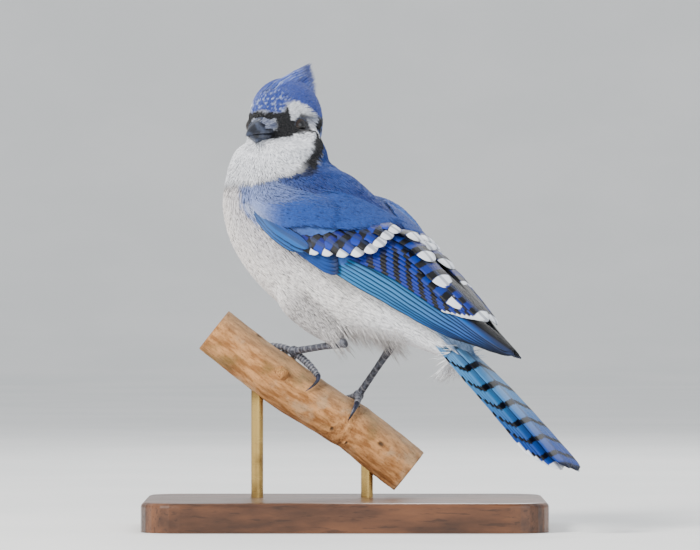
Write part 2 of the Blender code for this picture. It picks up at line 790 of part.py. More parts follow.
def tail_frame():
    """The tail's own axes in the bird's frame: along, across to the left, and up from its upper side."""
    root, tip = Vector((TAIL_ROOT[0], 0, TAIL_ROOT[1])), Vector((TAIL_TIP[0], 0, TAIL_TIP[1]))
    run = (tip - root).normalized()
    roll = Matrix.Rotation(-TAIL_ROLL, 3, run)
    left = roll @ Vector((0, 1, 0))
    up = left.cross(run).normalized()
    if up.z < 0:
        up = -up
    return root, run, left, up, (tip - root).length


# Tail feathers from the middle pair to the outer pair: reach, offset at the tip, width, level below the first
TAIL_FEATHERS = (
    (1.000, 3.4, 14.0, 0.0),
    (0.992, 6.4, 12.6, 1.75),
    (0.978, 7.0, 12.4, 2.45),
    (0.960, 7.6, 12.2, 3.15),
    (0.935, 8.2, 12.0, 3.85),
    (0.900, 8.8, 11.6, 4.55),
)


def tail():
    root, run, left, up, length = tail_frame()
    vanes = []
    for pair, (reach, offset, width, level) in enumerate(TAIL_FEATHERS):
        for side in (1, -1):
            drop = level + (0.85 if pair == 0 and side < 0 else 0.0)
            centres, normals, widths = [], [], []
            for k in range(7):
                t = k / 6
                point = root + run * length * reach * t + left * side * offset * (0.35 + 0.65 * t)
                point += up * (TAIL_ARCH * math.sin(math.pi * t) - drop * min(1.0, 0.3 + 2.2 * t))
                centres.append(to_world(*point))
                normals.append((to_world(*(point + up)) - centres[-1]).normalized())
                widths.append(width * min(1.0, 0.4 + 1.2 * t) * (1.0 if t < 0.99 else 0.6) * MM)
            outer = to_world(*(point + left * side)) - centres[-1]
            lean = 0.0 if pair == 0 else TAIL_LEAN
            name = f"tail_{pair}_{side}"
            vanes.append(vane(name, centres, normals, widths, VANE_THICK * MM, TAIL, outer, lean))
    core = rump_core(root, run, left, up)
    for old in list(core.users_collection):
        old.objects.unlink(core)
    PARTS.objects.link(core)
    core.name = "tail"
    boolean(core, vanes, "UNION")
    boolean(core, [body_form("hollow_rump", 0.0, RUMP_CUT + 0.3, grow=GAP)], "DIFFERENCE")
    return core


def rump_core(root, run, left, up):
    """The flesh that the tail feathers root in."""
    rings = []
    for along_tail, half, deep in ((-2.0, 5.0, 3.2), (8.0, 8.5, 4.2), (22.0, 8.0, 3.0), (34.0, 6.0, 1.2)):
        middle = root + run * along_tail - up * 2.2
        rings.append([to_world(*(middle + left * a + up * b)) for a, b in oval(14, half, deep, deep)])
    return make_object("core", closed_mesh("core", rings), TAIL, HELPERS)


def tube_through(name, points, radii, look, group=None, sides=8):
    """A round form along world points, with a radius in millimetres at each."""
    rings = []
    across = None
    for i, (point, radius) in enumerate(zip(points, radii)):
        run = (points[min(i + 1, len(points) - 1)] - points[max(i - 1, 0)]).normalized()
        across = run.orthogonal().normalized() if across is None else (across - run * across.dot(run)).normalized()
        up = run.cross(across)
        rings.append([
            point + (across * math.cos(a) + up * math.sin(a)) * radius * MM
            for a in (2 * math.pi * k / sides for k in range(sides))
        ])
    return make_object(name, closed_mesh(name, rings), look, group or HELPERS)


# Toes: distance down the branch and angle round it at the end of the toe, its length share and radius
TOES = {
    "hind": (11.0, 24, 1.55),
    "inner": (2.5, -88, 1.3),
    "middle": (-6.0, -108, 1.4),
    "outer": (-12.5, -82, 1.3),
}
HIND_TOES = {"left": (10.0, 30), "right": (4.5, 36)}
CLAW_ANGLES = {"hind": 48, "inner": -34, "middle": -32, "outer": -34}
CLAW_DRIFT = {"hind": -0.4, "inner": 1.0, "middle": 0.5, "outer": -0.5}


def foot(name, grip):
    """Four toes that hold the branch, and a claw on each. Also gives the room that the shank leaves the toes."""
    hub = on_branch(grip, 0, math.radians(4), HUB_RADIUS + GAP)
    joined, room = [], []
    for toe, (drift, degrees, radius) in TOES.items():
        bend = 1.0
        if toe == "hind":
            drift, degrees = HIND_TOES[name]
            bend = 1.8
        points, radii = [], []
        for k in range(6):
            t = k / 5
            angle = math.radians(4 + (degrees - 4) * t ** bend)
            knuckle = 0.16 * math.cos(2 * math.pi * 3 * t)
            points.append(on_branch(grip, drift * t ** 0.9, angle, radius + GAP + 0.12 + 0.5 * (1 - t)))
            radii.append(radius * (1.02 - 0.2 * t) + knuckle * 0.5)
        joined.append(tube_through(f"toe_{toe}", points, radii, SCALE, sides=7))
        wider = [r + GAP + 0.15 for r in radii]
        room.append(tube_through("hollow_toe", points, wider, SCALE, sides=7))
        run = (points[-1] - points[-2]).normalized()
        face = points[-1] + run * GAP * MM
        start = face + run * 0.6 * MM
        tip_angle = math.radians(degrees + CLAW_ANGLES[toe])
        tip = on_branch(grip, drift + CLAW_DRIFT[toe], tip_angle, GAP + 0.25)
        crown_angle = math.radians(degrees + 0.55 * CLAW_ANGLES[toe])
        crown = on_branch(grip, drift + 0.4 * CLAW_DRIFT[toe], crown_angle, 3.4)
        crown = crown.lerp(start + run * 3.6 * MM, 0.7)
        curve = [start * (1 - t) ** 2 + crown * 2 * t * (1 - t) + tip * t * t for t in (k / 6 for k in range(7))]
        claw_radii = [radius * 0.74 * (1 - k / 6) ** 0.75 + 0.16 for k in range(7)]
        tube_through(f"claw_{name}_{toe}", [face, *curve], [claw_radii[0], *claw_radii], HORN, PARTS)
    whole = ball(f"foot_{name}", hub, HUB_RADIUS, SCALE, PARTS, 12, 8)
    boolean(whole, joined, "UNION")
    return hub, room


def leg(name, grip):
    hub, room = foot(name, grip)
    heel, knee = to_world(*HEELS[name]), to_world(*KNEES[name])
    hip = to_world(KNEES[name][0] - 2, KNEES[name][1] * 0.8, KNEES[name][2] + 10)
    thigh = tube_through(
        f"thigh_{name}",
        [hip, hip.lerp(knee, 0.6), knee, knee.lerp(heel, 0.45), knee.lerp(heel, 0.8), heel],
        [9.0, 10.5, 11.0, 9.0, 5.4, 2.4],
        BODY,
        PARTS,
        sides=14,
    )
    boolean(thigh, [body_form("hollow_torso", RUMP_CUT - 1.5, NECK_CUT, grow=GAP)], "DIFFERENCE")
    shank = tube_through(
        f"shank_{name}",
        [heel.lerp(hub, t) for t in (-0.04, 0.06, 0.3, 0.6, 0.9, 1.0)],
        [1.7, 1.75, SHANK_RADIUS, SHANK_RADIUS * 0.95, SHANK_RADIUS * 1.05, SHANK_RADIUS * 1.15],
        SCALE,
        PARTS,
        sides=12,
    )
    sleeve = tube_through(
        "sleeve",
        [knee, knee.lerp(heel, 0.45), knee.lerp(heel, 0.8), heel, heel + (heel - knee).normalized() * GAP * MM],
        [11.3, 9.3, 5.7, 2.7, 2.3],
        BODY,
        sides=14,
    )
    hollow_hub = ball("hollow_hub", hub, HUB_RADIUS + GAP, SCALE, None, 14, 9)
    boolean(shank, [hollow_hub, sleeve, *room], "DIFFERENCE")


def carve_wing(target, side):
    """Trims a wing to the body that it lies on and to the bird's middle plane."""
    flank = body_form("hollow_flank", 0.0, len(SPINE) - 1.6, grow=GAP)
    low, high = ((-140, -60, -80), (60, 0.2, 90)) if side > 0 else ((-140, -0.2, -80), (60, 60, 90))
    boolean(target, [flank, cutting_box("half", low, high, to_world)], "DIFFERENCE")
    for old in list(target.users_collection):
        old.objects.unlink(target)
    PARTS.objects.link(target)


def build():
    branch()
    stand()
    eyes_and_head()
    upper_bill("bill_upper", group=PARTS)
    lower_bill("bill_lower", group=PARTS)
    neck_and_torso()
    tail()
    for name, side in (("left", 1), ("right", -1)):
        leg(name, share_at(FOOT_GRIPS[name]))
        carve_wing(wing(name, side), side)
    for made in PARTS.objects:
        smooth(made)
    bpy.data.collections.remove(HELPERS)


build()
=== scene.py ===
"""Looks for a life-size blue jay that perches on a cut branch above a display stand.

Sizes are in millimetres in the bird's own frame (forward, left, up) and become metres in the shared frame.
"""

import math

import bmesh
import bpy
import numpy as np
from mathutils import Matrix, Vector, kdtree, noise
from mathutils.bvhtree import BVHTree


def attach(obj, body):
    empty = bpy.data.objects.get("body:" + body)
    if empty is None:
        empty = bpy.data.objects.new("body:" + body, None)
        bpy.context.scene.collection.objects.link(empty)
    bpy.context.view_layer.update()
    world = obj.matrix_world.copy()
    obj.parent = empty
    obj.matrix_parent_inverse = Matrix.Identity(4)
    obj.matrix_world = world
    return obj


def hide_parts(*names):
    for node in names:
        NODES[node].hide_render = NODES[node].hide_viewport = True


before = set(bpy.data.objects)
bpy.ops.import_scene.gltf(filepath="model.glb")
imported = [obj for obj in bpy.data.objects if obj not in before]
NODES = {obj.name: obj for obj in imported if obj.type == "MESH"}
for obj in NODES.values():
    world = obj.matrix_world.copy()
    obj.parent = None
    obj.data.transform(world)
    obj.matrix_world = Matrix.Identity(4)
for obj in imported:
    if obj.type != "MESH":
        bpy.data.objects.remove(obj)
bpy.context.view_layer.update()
MM = 0.001

BASE_TALL = 12.0
BRANCH_Y = 12.0
BRANCH_LINE = ((-53.6, 68.8), (-30.4, 50.6), (-4.1, 33.0), (5.0, 27.4), (26.2, 10.6))
BRANCH_RADIUS = 10.0
TWIG_SHARE = 0.27

HEADING = math.radians(38)
BODY_X, BODY_Z = -9.4, 112.6
# Body sections along the spine: forward, height, half breadth, depth above and depth below
SPINE = (
    (-72.0, -41.5, 7.0, 5.0, 4.6),
    (-60.0, -32.0, 12.5, 14.0, 10.2),
    (-49.0, -25.0, 17.5, 20.5, 14.3),
    (-35.0, -17.0, 22.5, 24.5, 21.0),
    (-20.0, -9.0, 27.0, 27.5, 27.0),
    (-4.0, 1.0, 30.5, 28.6, 30.5),
    (11.0, 12.5, 31.2, 28.0, 29.5),
    (19.0, 23.0, 29.5, 25.0, 26.0),
    (22.3, 34.0, 24.5, 22.0, 20.6),
    (21.5, 43.0, 19.0, 19.5, 15.5),
    (20.5, 52.0, 14.5, 15.0, 11.0),
)
EYE_LINE = np.array((24.6, 0.0, 53.4))
HEAD_TURN, HEAD_NOD = math.radians(103), math.radians(-2)
# Head sections: forward of the eyes, half breadth, top, bottom
HEAD_SECTIONS = (
    (-24.0, 6.0, 9.0, -6.0),
    (-21.0, 11.0, 14.5, -12.5),
    (-16.0, 14.8, 18.0, -17.5),
    (-10.0, 16.0, 19.0, -19.5),
    (-4.5, 15.0, 18.2, -19.0),
    (0.0, 12.7, 16.4, -17.0),
    (4.0, 11.2, 13.8, -14.6),
    (8.0, 9.4, 10.4, -12.2),
    (11.5, 7.2, 6.8, -10.4),
    (14.0, 5.2, 4.0, -8.6),
)
EYE_RADIUS, EYE_PLACE = 3.9, (-0.6, 9.41, -1.4)
LID_RING, LID_THICK = 3.3, 0.5
# Forward of the eyes, half breadth, culmen or mouth line, mouth line or keel
UPPER_BILL = (
    (9.0, 4.9, 2.6, -4.2),
    (12.0, 4.6, 2.5, -4.3),
    (16.0, 3.9, 1.7, -4.3),
    (20.0, 2.9, 0.2, -4.3),
    (23.5, 1.9, -1.6, -4.5),
    (26.0, 1.0, -3.4, -4.9),
    (27.2, 0.4, -4.7, -5.5),
)
LOWER_BILL = (
    (9.0, 4.4, -4.5, -9.4),
    (12.0, 4.1, -4.6, -9.2),
    (16.0, 3.4, -4.6, -8.5),
    (20.0, 2.5, -4.6, -7.4),
    (23.0, 1.5, -4.7, -6.3),
    (25.4, 0.5, -4.9, -5.5),
)
# Folded wing: lower and upper edges from wrist to tip
WING_LOW = (
    (14.0, 27.0, 17.0),
    (-9.0, 31.5, 5.0),
    (-31.0, 30.0, -7.0),
    (-49.0, 24.0, -16.0),
    (-68.5, 16.5, -27.0),
    (-84.0, 9.5, -34.5),
    (-101.0, 3.6, -42.5),
)
WING_HIGH = (
    (13.0, 24.0, 30.0),
    (-9.0, 24.0, 24.0),
    (-29.0, 13.0, 16.0),
    (-46.5, 3.0, 5.0),
    (-66.0, 1.6, -9.5),
    (-83.0, 1.8, -25.0),
    (-99.0, 3.0, -40.0),
)
WING_BULGE = ((2.0,), (3.5,), (4.5,), (4.0,), (2.6,), (1.2,), (0.3,))
ARM_LENGTH, ARM_DEEP = 0.40, 2.6
ARM_HIGH = ((2.6,), (5.4,), (6.2,), (4.6,), (1.4,))
WING_SETBACK = {1: 0.0, -1: 0.035}
WING_DROP = {1: 0.0, -1: 3.0}
TAIL_ROOT, TAIL_TIP = (-48.0, -20.0), (-127.5, -86.5)
TAIL_ROLL, TAIL_LEAN, TAIL_ARCH = math.radians(6), math.radians(9), 1.6
FOOT_GRIPS = {"left": -28.5, "right": -0.5}
HEELS = {"left": (-21.0, 15.0, -37.4), "right": (-29.8, -8.0, -38.6)}
KNEES = {"left": (-2.0, 15.5, -17.0), "right": (-12.0, -13.0, -17.0)}
SHANK_RADIUS, HUB_RADIUS = 1.45, 2.3
# Toes: distance down the branch, degrees round it, radius
TOES = {
    "hind": (11.0, 24, 1.55),
    "inner": (2.5, -88, 1.3),
    "middle": (-6.0, -108, 1.4),
    "outer": (-12.5, -82, 1.3),
}
HIND_TOES = {"left": (10.0, 30), "right": (4.5, 36)}
CLAW_ANGLES = {"hind": 48, "inner": -34, "middle": -32, "outer": -34}
CLAW_DRIFT = {"hind": -0.4, "inner": 1.0, "middle": 0.5, "outer": -0.5}
# How far the skin lies under the plumage's outline, and from what height up a barb belongs to the head
SKIN_DEPTH, HEAD_LEVEL = 1.05, 34
# How dark the vanes' colours are, and how high the coverts stand on each wing, as a share of their lift
TINT_DEPTH = 0.66
VANE_LIFT, SOFT_LIFT = {1: 1.0, -1: 0.6}, {1: 1.0, -1: 0.7}
VANE_STEPS, TAIL_STEPS = 26, 40
BARBS_A_PIECE = 12000
# Where the pale floor starts in front, how far back it bends up and how wide the bend is, in metres
FLOOR_START, FLOOR_BACK, FLOOR_BEND, FLOOR_LONG = -3.6, 3.4, 1.2, 10.5
CAMERA_FAR, PICTURE_WIDE, PICTURE_MIDDLE = 2.6, 0.287, (0.00205, 0.10313)
RANDOM = np.random.default_rng(7)


def unit(arrows):
    return arrows / np.maximum(np.linalg.norm(arrows, axis=-1, keepdims=True), 1e-9)


def along(rows, place):
    """A smooth reading of a table of values at places that count from 0 at its first row."""
    rows, place = np.asarray(rows, float), np.asarray(place, float)
    last = len(rows) - 1
    i = np.clip(np.floor(place).astype(int), 0, last - 1)
    t = (place - i)[..., None]
    a, b = rows[np.maximum(i - 1, 0)], rows[i]
    c, d = rows[i + 1], rows[np.minimum(i + 2, last)]
    square, cube = 2 * a - 5 * b + 4 * c - d, 3 * b - a - 3 * c + d
    return 0.5 * (2 * b + (c - a) * t + square * t ** 2 + cube * t ** 3)


def to_world(points):
    """Points of the bird's frame, in millimetres, as metres of the shared frame."""
    f, l, u = np.moveaxis(np.asarray(points, float), -1, 0)
    c, s = math.cos(HEADING), math.sin(HEADING)
    return np.stack([BODY_X - f * c - l * s, BRANCH_Y + f * s - l * c, BODY_Z + u], -1) * MM


def to_bird(points):
    x, y, z = np.moveaxis(np.asarray(points, float) / MM, -1, 0)
    c, s = math.cos(HEADING), math.sin(HEADING)
    dx, dy = x - BODY_X, y - BRANCH_Y
    return np.stack([-dx * c + dy * s, -dx * s - dy * c, z - BODY_Z], -1)


def turn_to_world(arrows):
    return (to_world(arrows) - to_world(np.zeros(3))) / MM


HEAD = np.array(Matrix.Rotation(HEAD_TURN, 3, "Z") @ Matrix.Rotation(-HEAD_NOD, 3, "Y"))


def head_to_bird(points):
    return np.asarray(points, float) @ HEAD.T + EYE_LINE


def bird_to_head(points):
    return (points - EYE_LINE) @ HEAD


def head_to_world(points):
    return to_world(head_to_bird(points))


def ease(low, high, x):
    t = np.clip((x - low) / (high - low), 0, 1)
    return t * t * (3 - 2 * t)


def mix(a, b, t):
    return a + (b - a) * np.asarray(t)[..., None]


def paint(red, green, blue):
    """A colour as seen on a screen, 0 to 255, as the linear values that a shader takes."""
    c = np.array((red, green, blue)) / 255
    return np.where(c <= 0.04045, c / 12.92, ((c + 0.055) / 1.055) ** 2.4)


CROWN_BLUE, CROWN_PALE = paint(48, 72, 156), paint(170, 184, 220)
MANTLE_BLUE, MANTLE_DEEP = paint(28, 64, 134), paint(12, 38, 104)
SHOULDER_GREY = paint(124, 140, 186)
BREAST_GREY, BELLY_WHITE = paint(218, 212, 208), paint(234, 231, 228)
FACE_WHITE, BLACK = paint(238, 240, 244), paint(9, 10, 15)
RUMP_BLUE, VENT_WHITE = paint(150, 178, 214), paint(242, 243, 245)
SKY = paint(74, 150, 214)


# Frames of the body, head, arm and legs, and what each place of them is

SPINE_STEPS = np.linspace(0, len(SPINE) - 1, 401)
SPINE_ROWS = along(SPINE, SPINE_STEPS)
SPINE_RUNS = unit(np.gradient(SPINE_ROWS[:, :2], axis=0))


def spine_read(points):
    """For points of the bird's frame: place on the spine, degrees round it from the back, its direction."""
    near = np.empty(len(points), int)
    for start in range(0, len(points), 8000):
        part = points[start:start + 8000]
        gaps = (part[:, 0:1] - SPINE_ROWS[:, 0]) ** 2 + (part[:, 2:3] - SPINE_ROWS[:, 1]) ** 2
        near[start:start + 8000] = gaps.argmin(1)
    rows, runs = SPINE_ROWS[near], SPINE_RUNS[near]
    lift = -runs[:, 1] * (points[:, 0] - rows[:, 0]) + runs[:, 0] * (points[:, 2] - rows[:, 1])
    lift = np.where(lift > 0, lift / rows[:, 3], lift / rows[:, 4])
    angle = np.degrees(np.arctan2(np.abs(points[:, 1]) / rows[:, 2], lift))
    return SPINE_STEPS[near], angle, np.stack([runs[:, 0], np.zeros(len(runs)), runs[:, 1]], -1)


def wing_surface(share, across):
    """The left wing's bare surface: 0 to 1 from wrist to tip, and 0 to 1 from its lower to its upper edge."""
    place = share * (len(WING_LOW) - 1)
    low, high = along(WING_LOW, place), along(WING_HIGH, place)
    ahead = along(WING_LOW, np.minimum(place + 0.1, 6.0)) - along(WING_LOW, np.maximum(place - 0.1, 0.0))
    outward = unit(np.cross(ahead, high - low))
    outward = outward * np.where(outward[..., 1:2] < 0, -1, 1)
    swell = along(WING_BULGE, place) * (4 * across * (1 - across))[..., None]
    return low + (high - low) * across[..., None] + outward * swell


def wing_point(share, across, lift):
    """Points above that surface, with the directions out of it, to its upper edge and to its tip."""
    share, across = np.asarray(share, float), np.asarray(across, float)
    ahead = wing_surface(np.minimum(share + 0.02, 1), across)
    ahead = ahead - wing_surface(np.maximum(share - 0.02, 0), across)
    rise = wing_surface(share, across + 0.02) - wing_surface(share, across - 0.02)
    outward = unit(np.cross(ahead, rise))
    outward = outward * np.where(outward[..., 1:2] < 0, -1, 1)
    point = wing_surface(share, across) + outward * np.asarray(lift)[..., None]
    return point, outward, unit(rise), unit(ahead)


def arm_height(share, across):
    high = along(ARM_HIGH, 4.0 * np.clip(share / ARM_LENGTH, 0, 1))[..., 0]
    return high * (0.30 + 0.70 * np.sqrt(np.clip(4 * across * (1 - across), 0, 1)))


ARM_SHARES, ARM_ACROSS = np.meshgrid(np.linspace(0, 0.42, 60), np.linspace(0, 1, 40), indexing="ij")
ARM_SHARES, ARM_ACROSS = ARM_SHARES.ravel(), ARM_ACROSS.ravel()
ARM_SKIN = wing_point(ARM_SHARES, ARM_ACROSS, arm_height(ARM_SHARES, ARM_ACROSS) - SKIN_DEPTH)
ARM_TREE = kdtree.KDTree(len(ARM_SHARES))
for number, spot in enumerate(ARM_SKIN[0]):
    ARM_TREE.insert(spot, number)
ARM_TREE.balance()


def arm_read(points):
    """The nearest place of the folded arm: distance, share, across, and its direction to the wing's tip."""
    near = [ARM_TREE.find((p[0], abs(p[1]), p[2] + (WING_DROP[-1] if p[1] < 0 else 0.0))) for p in points]
    index = np.array([found[1] for found in near])
    ones = np.ones(len(points))
    ahead = ARM_SKIN[3][index] * np.stack([ones, np.sign(points[:, 1]), ones], -1)
    return np.array([found[2] for found in near]), ARM_SHARES[index], ARM_ACROSS[index], ahead


def leg_read(points):
    """The nearest thigh: distance from its axis as a share of its thickness, place down it, its direction."""
    best = np.full(len(points), 9.0)
    place, run = np.zeros(len(points)), np.zeros((len(points), 3))
    for name in ("left", "right"):
        knee, heel = np.array(KNEES[name]), np.array(HEELS[name])
        axis = heel - knee
        t = np.clip((points - knee) @ axis / (axis @ axis), -0.2, 1)
        gap = np.linalg.norm(points - knee - t[:, None] * axis, axis=1)
        share = gap / np.interp(t, (-0.2, 0, 0.45, 0.8, 1.0), (11, 11, 9.0, 5.4, 2.4))
        closer = share < best
        best[closer], place[closer], run[closer] = share[closer], t[closer], unit(axis)
    return best, place, run


# Necklace: degrees round the neck from the way the bill points, and height above the eyes
NECKLACE = (
    (-180, 2), (-150, 2), (-120, -12), (-90, -22), (-60, -28), (-30, -27.5), (0, -27), (28, -24),
    (46, -22), (64, -18), (90, -12), (105, -7), (118, 2), (180, 2),
)
NECKLACE_WIDTH = (
    (-180, 0.4), (-150, 1.5), (-110, 2.9), (-70, 2.4), (-40, 1.6), (0, 1.3), (40, 1.8),
    (60, 2.9), (90, 3.3), (108, 3.2), (120, 1.6), (150, 0.4), (180, 0.4),
)
NECKLACE_INK = (
    (-180, 0.0), (-130, 0.9), (-80, 1.0), (-50, 0.45), (0, 0.16), (30, 0.25),
    (52, 0.75), (64, 1.0), (110, 1.0), (124, 0.8), (150, 0.0), (180, 0.0),
)
# The necklace's end beside the cheek: height above the eyes, and its hind and front edge forward of them
CHEEK_STRIP = (
    (-19, 7.0, 12.0), (-15.4, 3.0, 7.7), (-11.9, -2.0, 3.4), (-8, -7.0, -1.0),
    (-4, -12.5, -6.0), (-2, -14.5, -7.5), (2, -17.0, -11.0),
)
# The blue cap's lower edge: forward of the eyes, and height above them
CAP_EDGE = (
    (-30, -12), (-20, -5), (-12.3, 0.7), (-7.9, 3.9), (-4.6, 6.6), (-1.1, 8.3), (3.4, 8.0),
    (5.3, 5.8), (7.4, 3.6), (9.6, 3.4), (10.7, 4.3), (12.5, 4.4), (16, 4.2),
)
# The black lore's lower edge, given in the same way
LORE_FLOOR = ((-2, -2.4), (1, -3.4), (4, -4.8), (8, -6.6), (12, -7.4))


def read_table(table, x, column=1):
    return np.interp(x, [row[0] for row in table], [row[column] for row in table])


def neck_read(points):
    """For points of the bird's frame: degrees round the neck and height above the necklace."""
    forward = HEAD @ np.array((1.0, 0, 0))
    left = HEAD @ np.array((0, 1.0, 0))
    out = points - np.array((20.0, 0, 0))
    turn = np.degrees(np.arctan2(out @ left, out @ forward))
    height = points[:, 2] - EYE_LINE[2]
    return turn, height - read_table(NECKLACE, turn)


def uneven(points, size, seed=0.0):
    """A soft random value from -1 to 1 for each point, alike over a size in millimetres."""
    return np.array([noise.noise(Vector(p) / size + Vector((seed, 0, 0))) for p in points])


def body_colours(points, rough, broad):
    """The coat behind the necklace: back, belly, shoulders and thighs."""
    place, angle, _ = spine_read(points)
    edge = np.interp(place, (0, 2, 4, 5.5, 6.5, 7.5, 10), (74, 70, 80, 88, 95, 92, 84)) + rough * 2.0
    back = mix(MANTLE_DEEP, MANTLE_BLUE, np.clip(0.55 + 0.5 * broad + (place - 6) * 0.12, 0, 1))
    back = mix(back, RUMP_BLUE, ease(3.6, 1.4, place))
    back = mix(back, SHOULDER_GREY, ease(edge - 58, edge - 14, angle) * ease(3.0, 5.0, place))
    under = mix(BELLY_WHITE, BREAST_GREY, ease(3.6, 6.2, place) * (0.75 + 0.25 * broad))
    under = mix(under, VENT_WHITE, ease(3.4, 1.8, place))
    shade = ease(edge + 34, edge + 2, angle) * 0.55 * ease(3.0, 5.5, place)
    under = mix(under, paint(170, 168, 176), shade)
    coat = mix(back, under, ease(edge - 3, edge + 3, angle))

    gap, share, across, _ = arm_read(points)
    arm = mix(SHOULDER_GREY, MANTLE_BLUE, ease(0.02, 0.22, share) * 0.8 + 0.12 * broad)
    arm = mix(arm, paint(60, 110, 190), ease(0.16, 0.36, share) * 0.8)
    arm = mix(arm, paint(168, 176, 196), ease(0.30, 0.02, across) * ease(0.14, 0.0, share) * 0.8)
    coat = mix(coat, arm, ease(3.0, 1.6, gap))

    inside, down, _ = leg_read(points)
    return mix(coat, paint(196, 192, 190), ease(1.3, 1.0, inside) * ease(-0.1, 0.2, down))


def face_colours(points, forward, left, up, rough, broad):
    """The head in front of the necklace: white cheeks and throat, blue cap, black lores."""
    face = np.tile(FACE_WHITE, (len(points), 1))
    face = mix(face, paint(196, 204, 222), ease(-3, -11, forward) * ease(-14, -2, up) * 0.7)
    face = mix(face, paint(206, 208, 212), ease(-10, -22, up) * 0.5)
    line = ease(1.3, 0.4, np.abs(up + 0.12 * (forward + 4) + rough * 0.25))
    line = line * ease(-2.5, -4.0, forward) * ease(-11, -7, forward)
    face = mix(face, paint(90, 104, 140), line * 0.5)
    streaks = uneven(points * np.array((1.0, 1.0, 0.35)), 0.9, 77.0)
    hairs = ease(0.30, 0.55, streaks) * ease(-12, -5, up) * ease(2, 6, forward + 3)
    face = mix(face, paint(110, 112, 120), hairs * 0.55)

    cap = ease(-0.9, 0.9, up - read_table(CAP_EDGE, forward) + rough * 0.35)
    crown = mix(CROWN_BLUE, paint(48, 74, 158), np.clip(0.45 + 0.6 * broad, 0, 1))
    fleck = ease(-0.05, 0.35, uneven(points, 1.2, 31.0)) * ease(-3, 7, forward)
    crown = mix(crown, CROWN_PALE, fleck * 0.8)
    crown = mix(crown, paint(36, 66, 150), ease(-6, -18, forward) * 0.6)
    face = mix(face, crown, cap)

    brow = 3.9 + 0.12 * (7.8 - up) - 4.4 * ease(1.4, -0.6, up)
    low = read_table(LORE_FLOOR, forward) + 0.35 * rough
    lore = ease(-0.5, 0.5, forward - brow + 0.15 * rough)
    lore = lore * ease(low - 0.5, low + 0.5, up) * ease(1.6, 2.6, left)
    band = ease(6.6, 8.0, forward) * ease(1.4, 2.2, up + 0.2 * rough)
    muzzle = ease(9.4, 10.4, forward + 0.2 * rough) * ease(-3.6, -2.6, up) * (1 - cap) * (1 - band)
    face = mix(face, paint(150, 158, 182), muzzle * 0.8)
    lore, band = lore * (1 - cap) * (1 - muzzle), band * (1 - cap)
    reach = np.linalg.norm(np.stack([forward - EYE_PLACE[0] - 0.4, up - EYE_PLACE[2]], -1), axis=1)
    rim = ease(4.0, 3.2, reach) * ease(5.0, 7.0, left)
    return mix(face, BLACK, np.clip(lore + band + rim * 0.9, 0, 1))


def markings(points):
    """The colour of the plumage at points of the bird's frame."""
    rough = uneven(points, 2.6) * 2.2 + uneven(points, 0.9, 5.0) * 1.1
    broad = uneven(points, 9.0, 9.0)
    coat = body_colours(points, rough, broad)
    head = bird_to_head(points)
    forward, left, up = head[:, 0], np.abs(head[:, 1]), head[:, 2]
    face = face_colours(points, forward, left, up, rough, broad)

    turn, above = neck_read(points)
    high = ease(14, 22, points[:, 2])
    hind_edge, front_edge = read_table(CHEEK_STRIP, up), read_table(CHEEK_STRIP, up, 2)
    beside = ease(8, 10, left) * ease(-19, -16.5, up) * ease(2.5, 0.5, up)
    cheek = ease(-0.6, 0.6, forward - hind_edge) * beside
    before = np.maximum(ease(-0.6, 0.6, above + rough * 0.3) * high, cheek)
    coat = mix(coat, face, before)
    strip = ease(-0.6, 0.6, forward - hind_edge + 0.3 * rough)
    strip = strip * ease(0.6, -0.6, forward - front_edge + 0.3 * rough) * beside
    coat = mix(coat, BLACK, strip)
    width = read_table(NECKLACE_WIDTH, turn) + rough * 0.28
    ink = read_table(NECKLACE_INK, turn) * ease(width + 0.7, width - 0.7, np.abs(above)) * high
    return mix(coat, BLACK, ink)


def lie(points):
    """Which way the plumage points, in the bird's frame."""
    place, angle, run = spine_read(points)
    way = -run
    sag = ease(70, 120, angle) * ease(6.5, 4.0, place) * 0.25
    way = unit(way + np.array((0, 0, -1.0)) * sag[:, None])
    gap, _, _, ahead = arm_read(points)
    way = unit(mix(way, ahead, ease(4.0, 1.5, gap)))
    inside, down, run = leg_read(points)
    way = unit(mix(way, run, ease(1.5, 1.1, inside) * ease(-0.1, 0.25, down)))
    head = bird_to_head(points)
    fan = unit(head - np.array((13.0, 0, -3.0)))
    fan = unit(fan + np.array((-0.35, 0, -0.12))) @ HEAD.T
    _, above = neck_read(points)
    return unit(mix(way, fan, ease(-8, 4, above) * ease(16, 26, points[:, 2])))


def bake_spot(points):
    """Each point's place on the flat layout of the skin: body, head, two arms and two thighs."""
    place, angle, _ = spine_read(points)
    side = np.where(points[:, 1] < 0, -1, 1)
    spot = np.stack([0.5 + side * angle / 180 * 0.47, 0.03 + place / 10 * 0.43], -1)
    head = bird_to_head(points)
    turn = np.arctan2(head[:, 1], head[:, 2] + 2) / math.pi
    head_spot = np.stack([0.32 + turn * 0.28, 0.52 + np.clip((head[:, 0] + 25) / 40, 0, 1) * 0.45], -1)
    spot = np.where((points[:, 2] > HEAD_LEVEL)[:, None], head_spot, spot)
    gap, share, across, _ = arm_read(points)
    low = np.where(side > 0, 0.52, 0.67)
    arm_spot = np.stack([0.65 + share / 0.42 * 0.32, low + across * 0.12], -1)
    spot = np.where((gap < 1.8)[:, None], arm_spot, spot)
    inside, down, _ = leg_read(points)
    left = np.where(side > 0, 0.66, 0.83)
    thigh_spot = np.stack([left + 0.14 * (angle / 180), 0.83 + 0.14 * np.clip(down, 0, 1)], -1)
    return np.where(((inside < 1.15) & (angle > 110) & (down > 0.1))[:, None], thigh_spot, spot)


# Materials

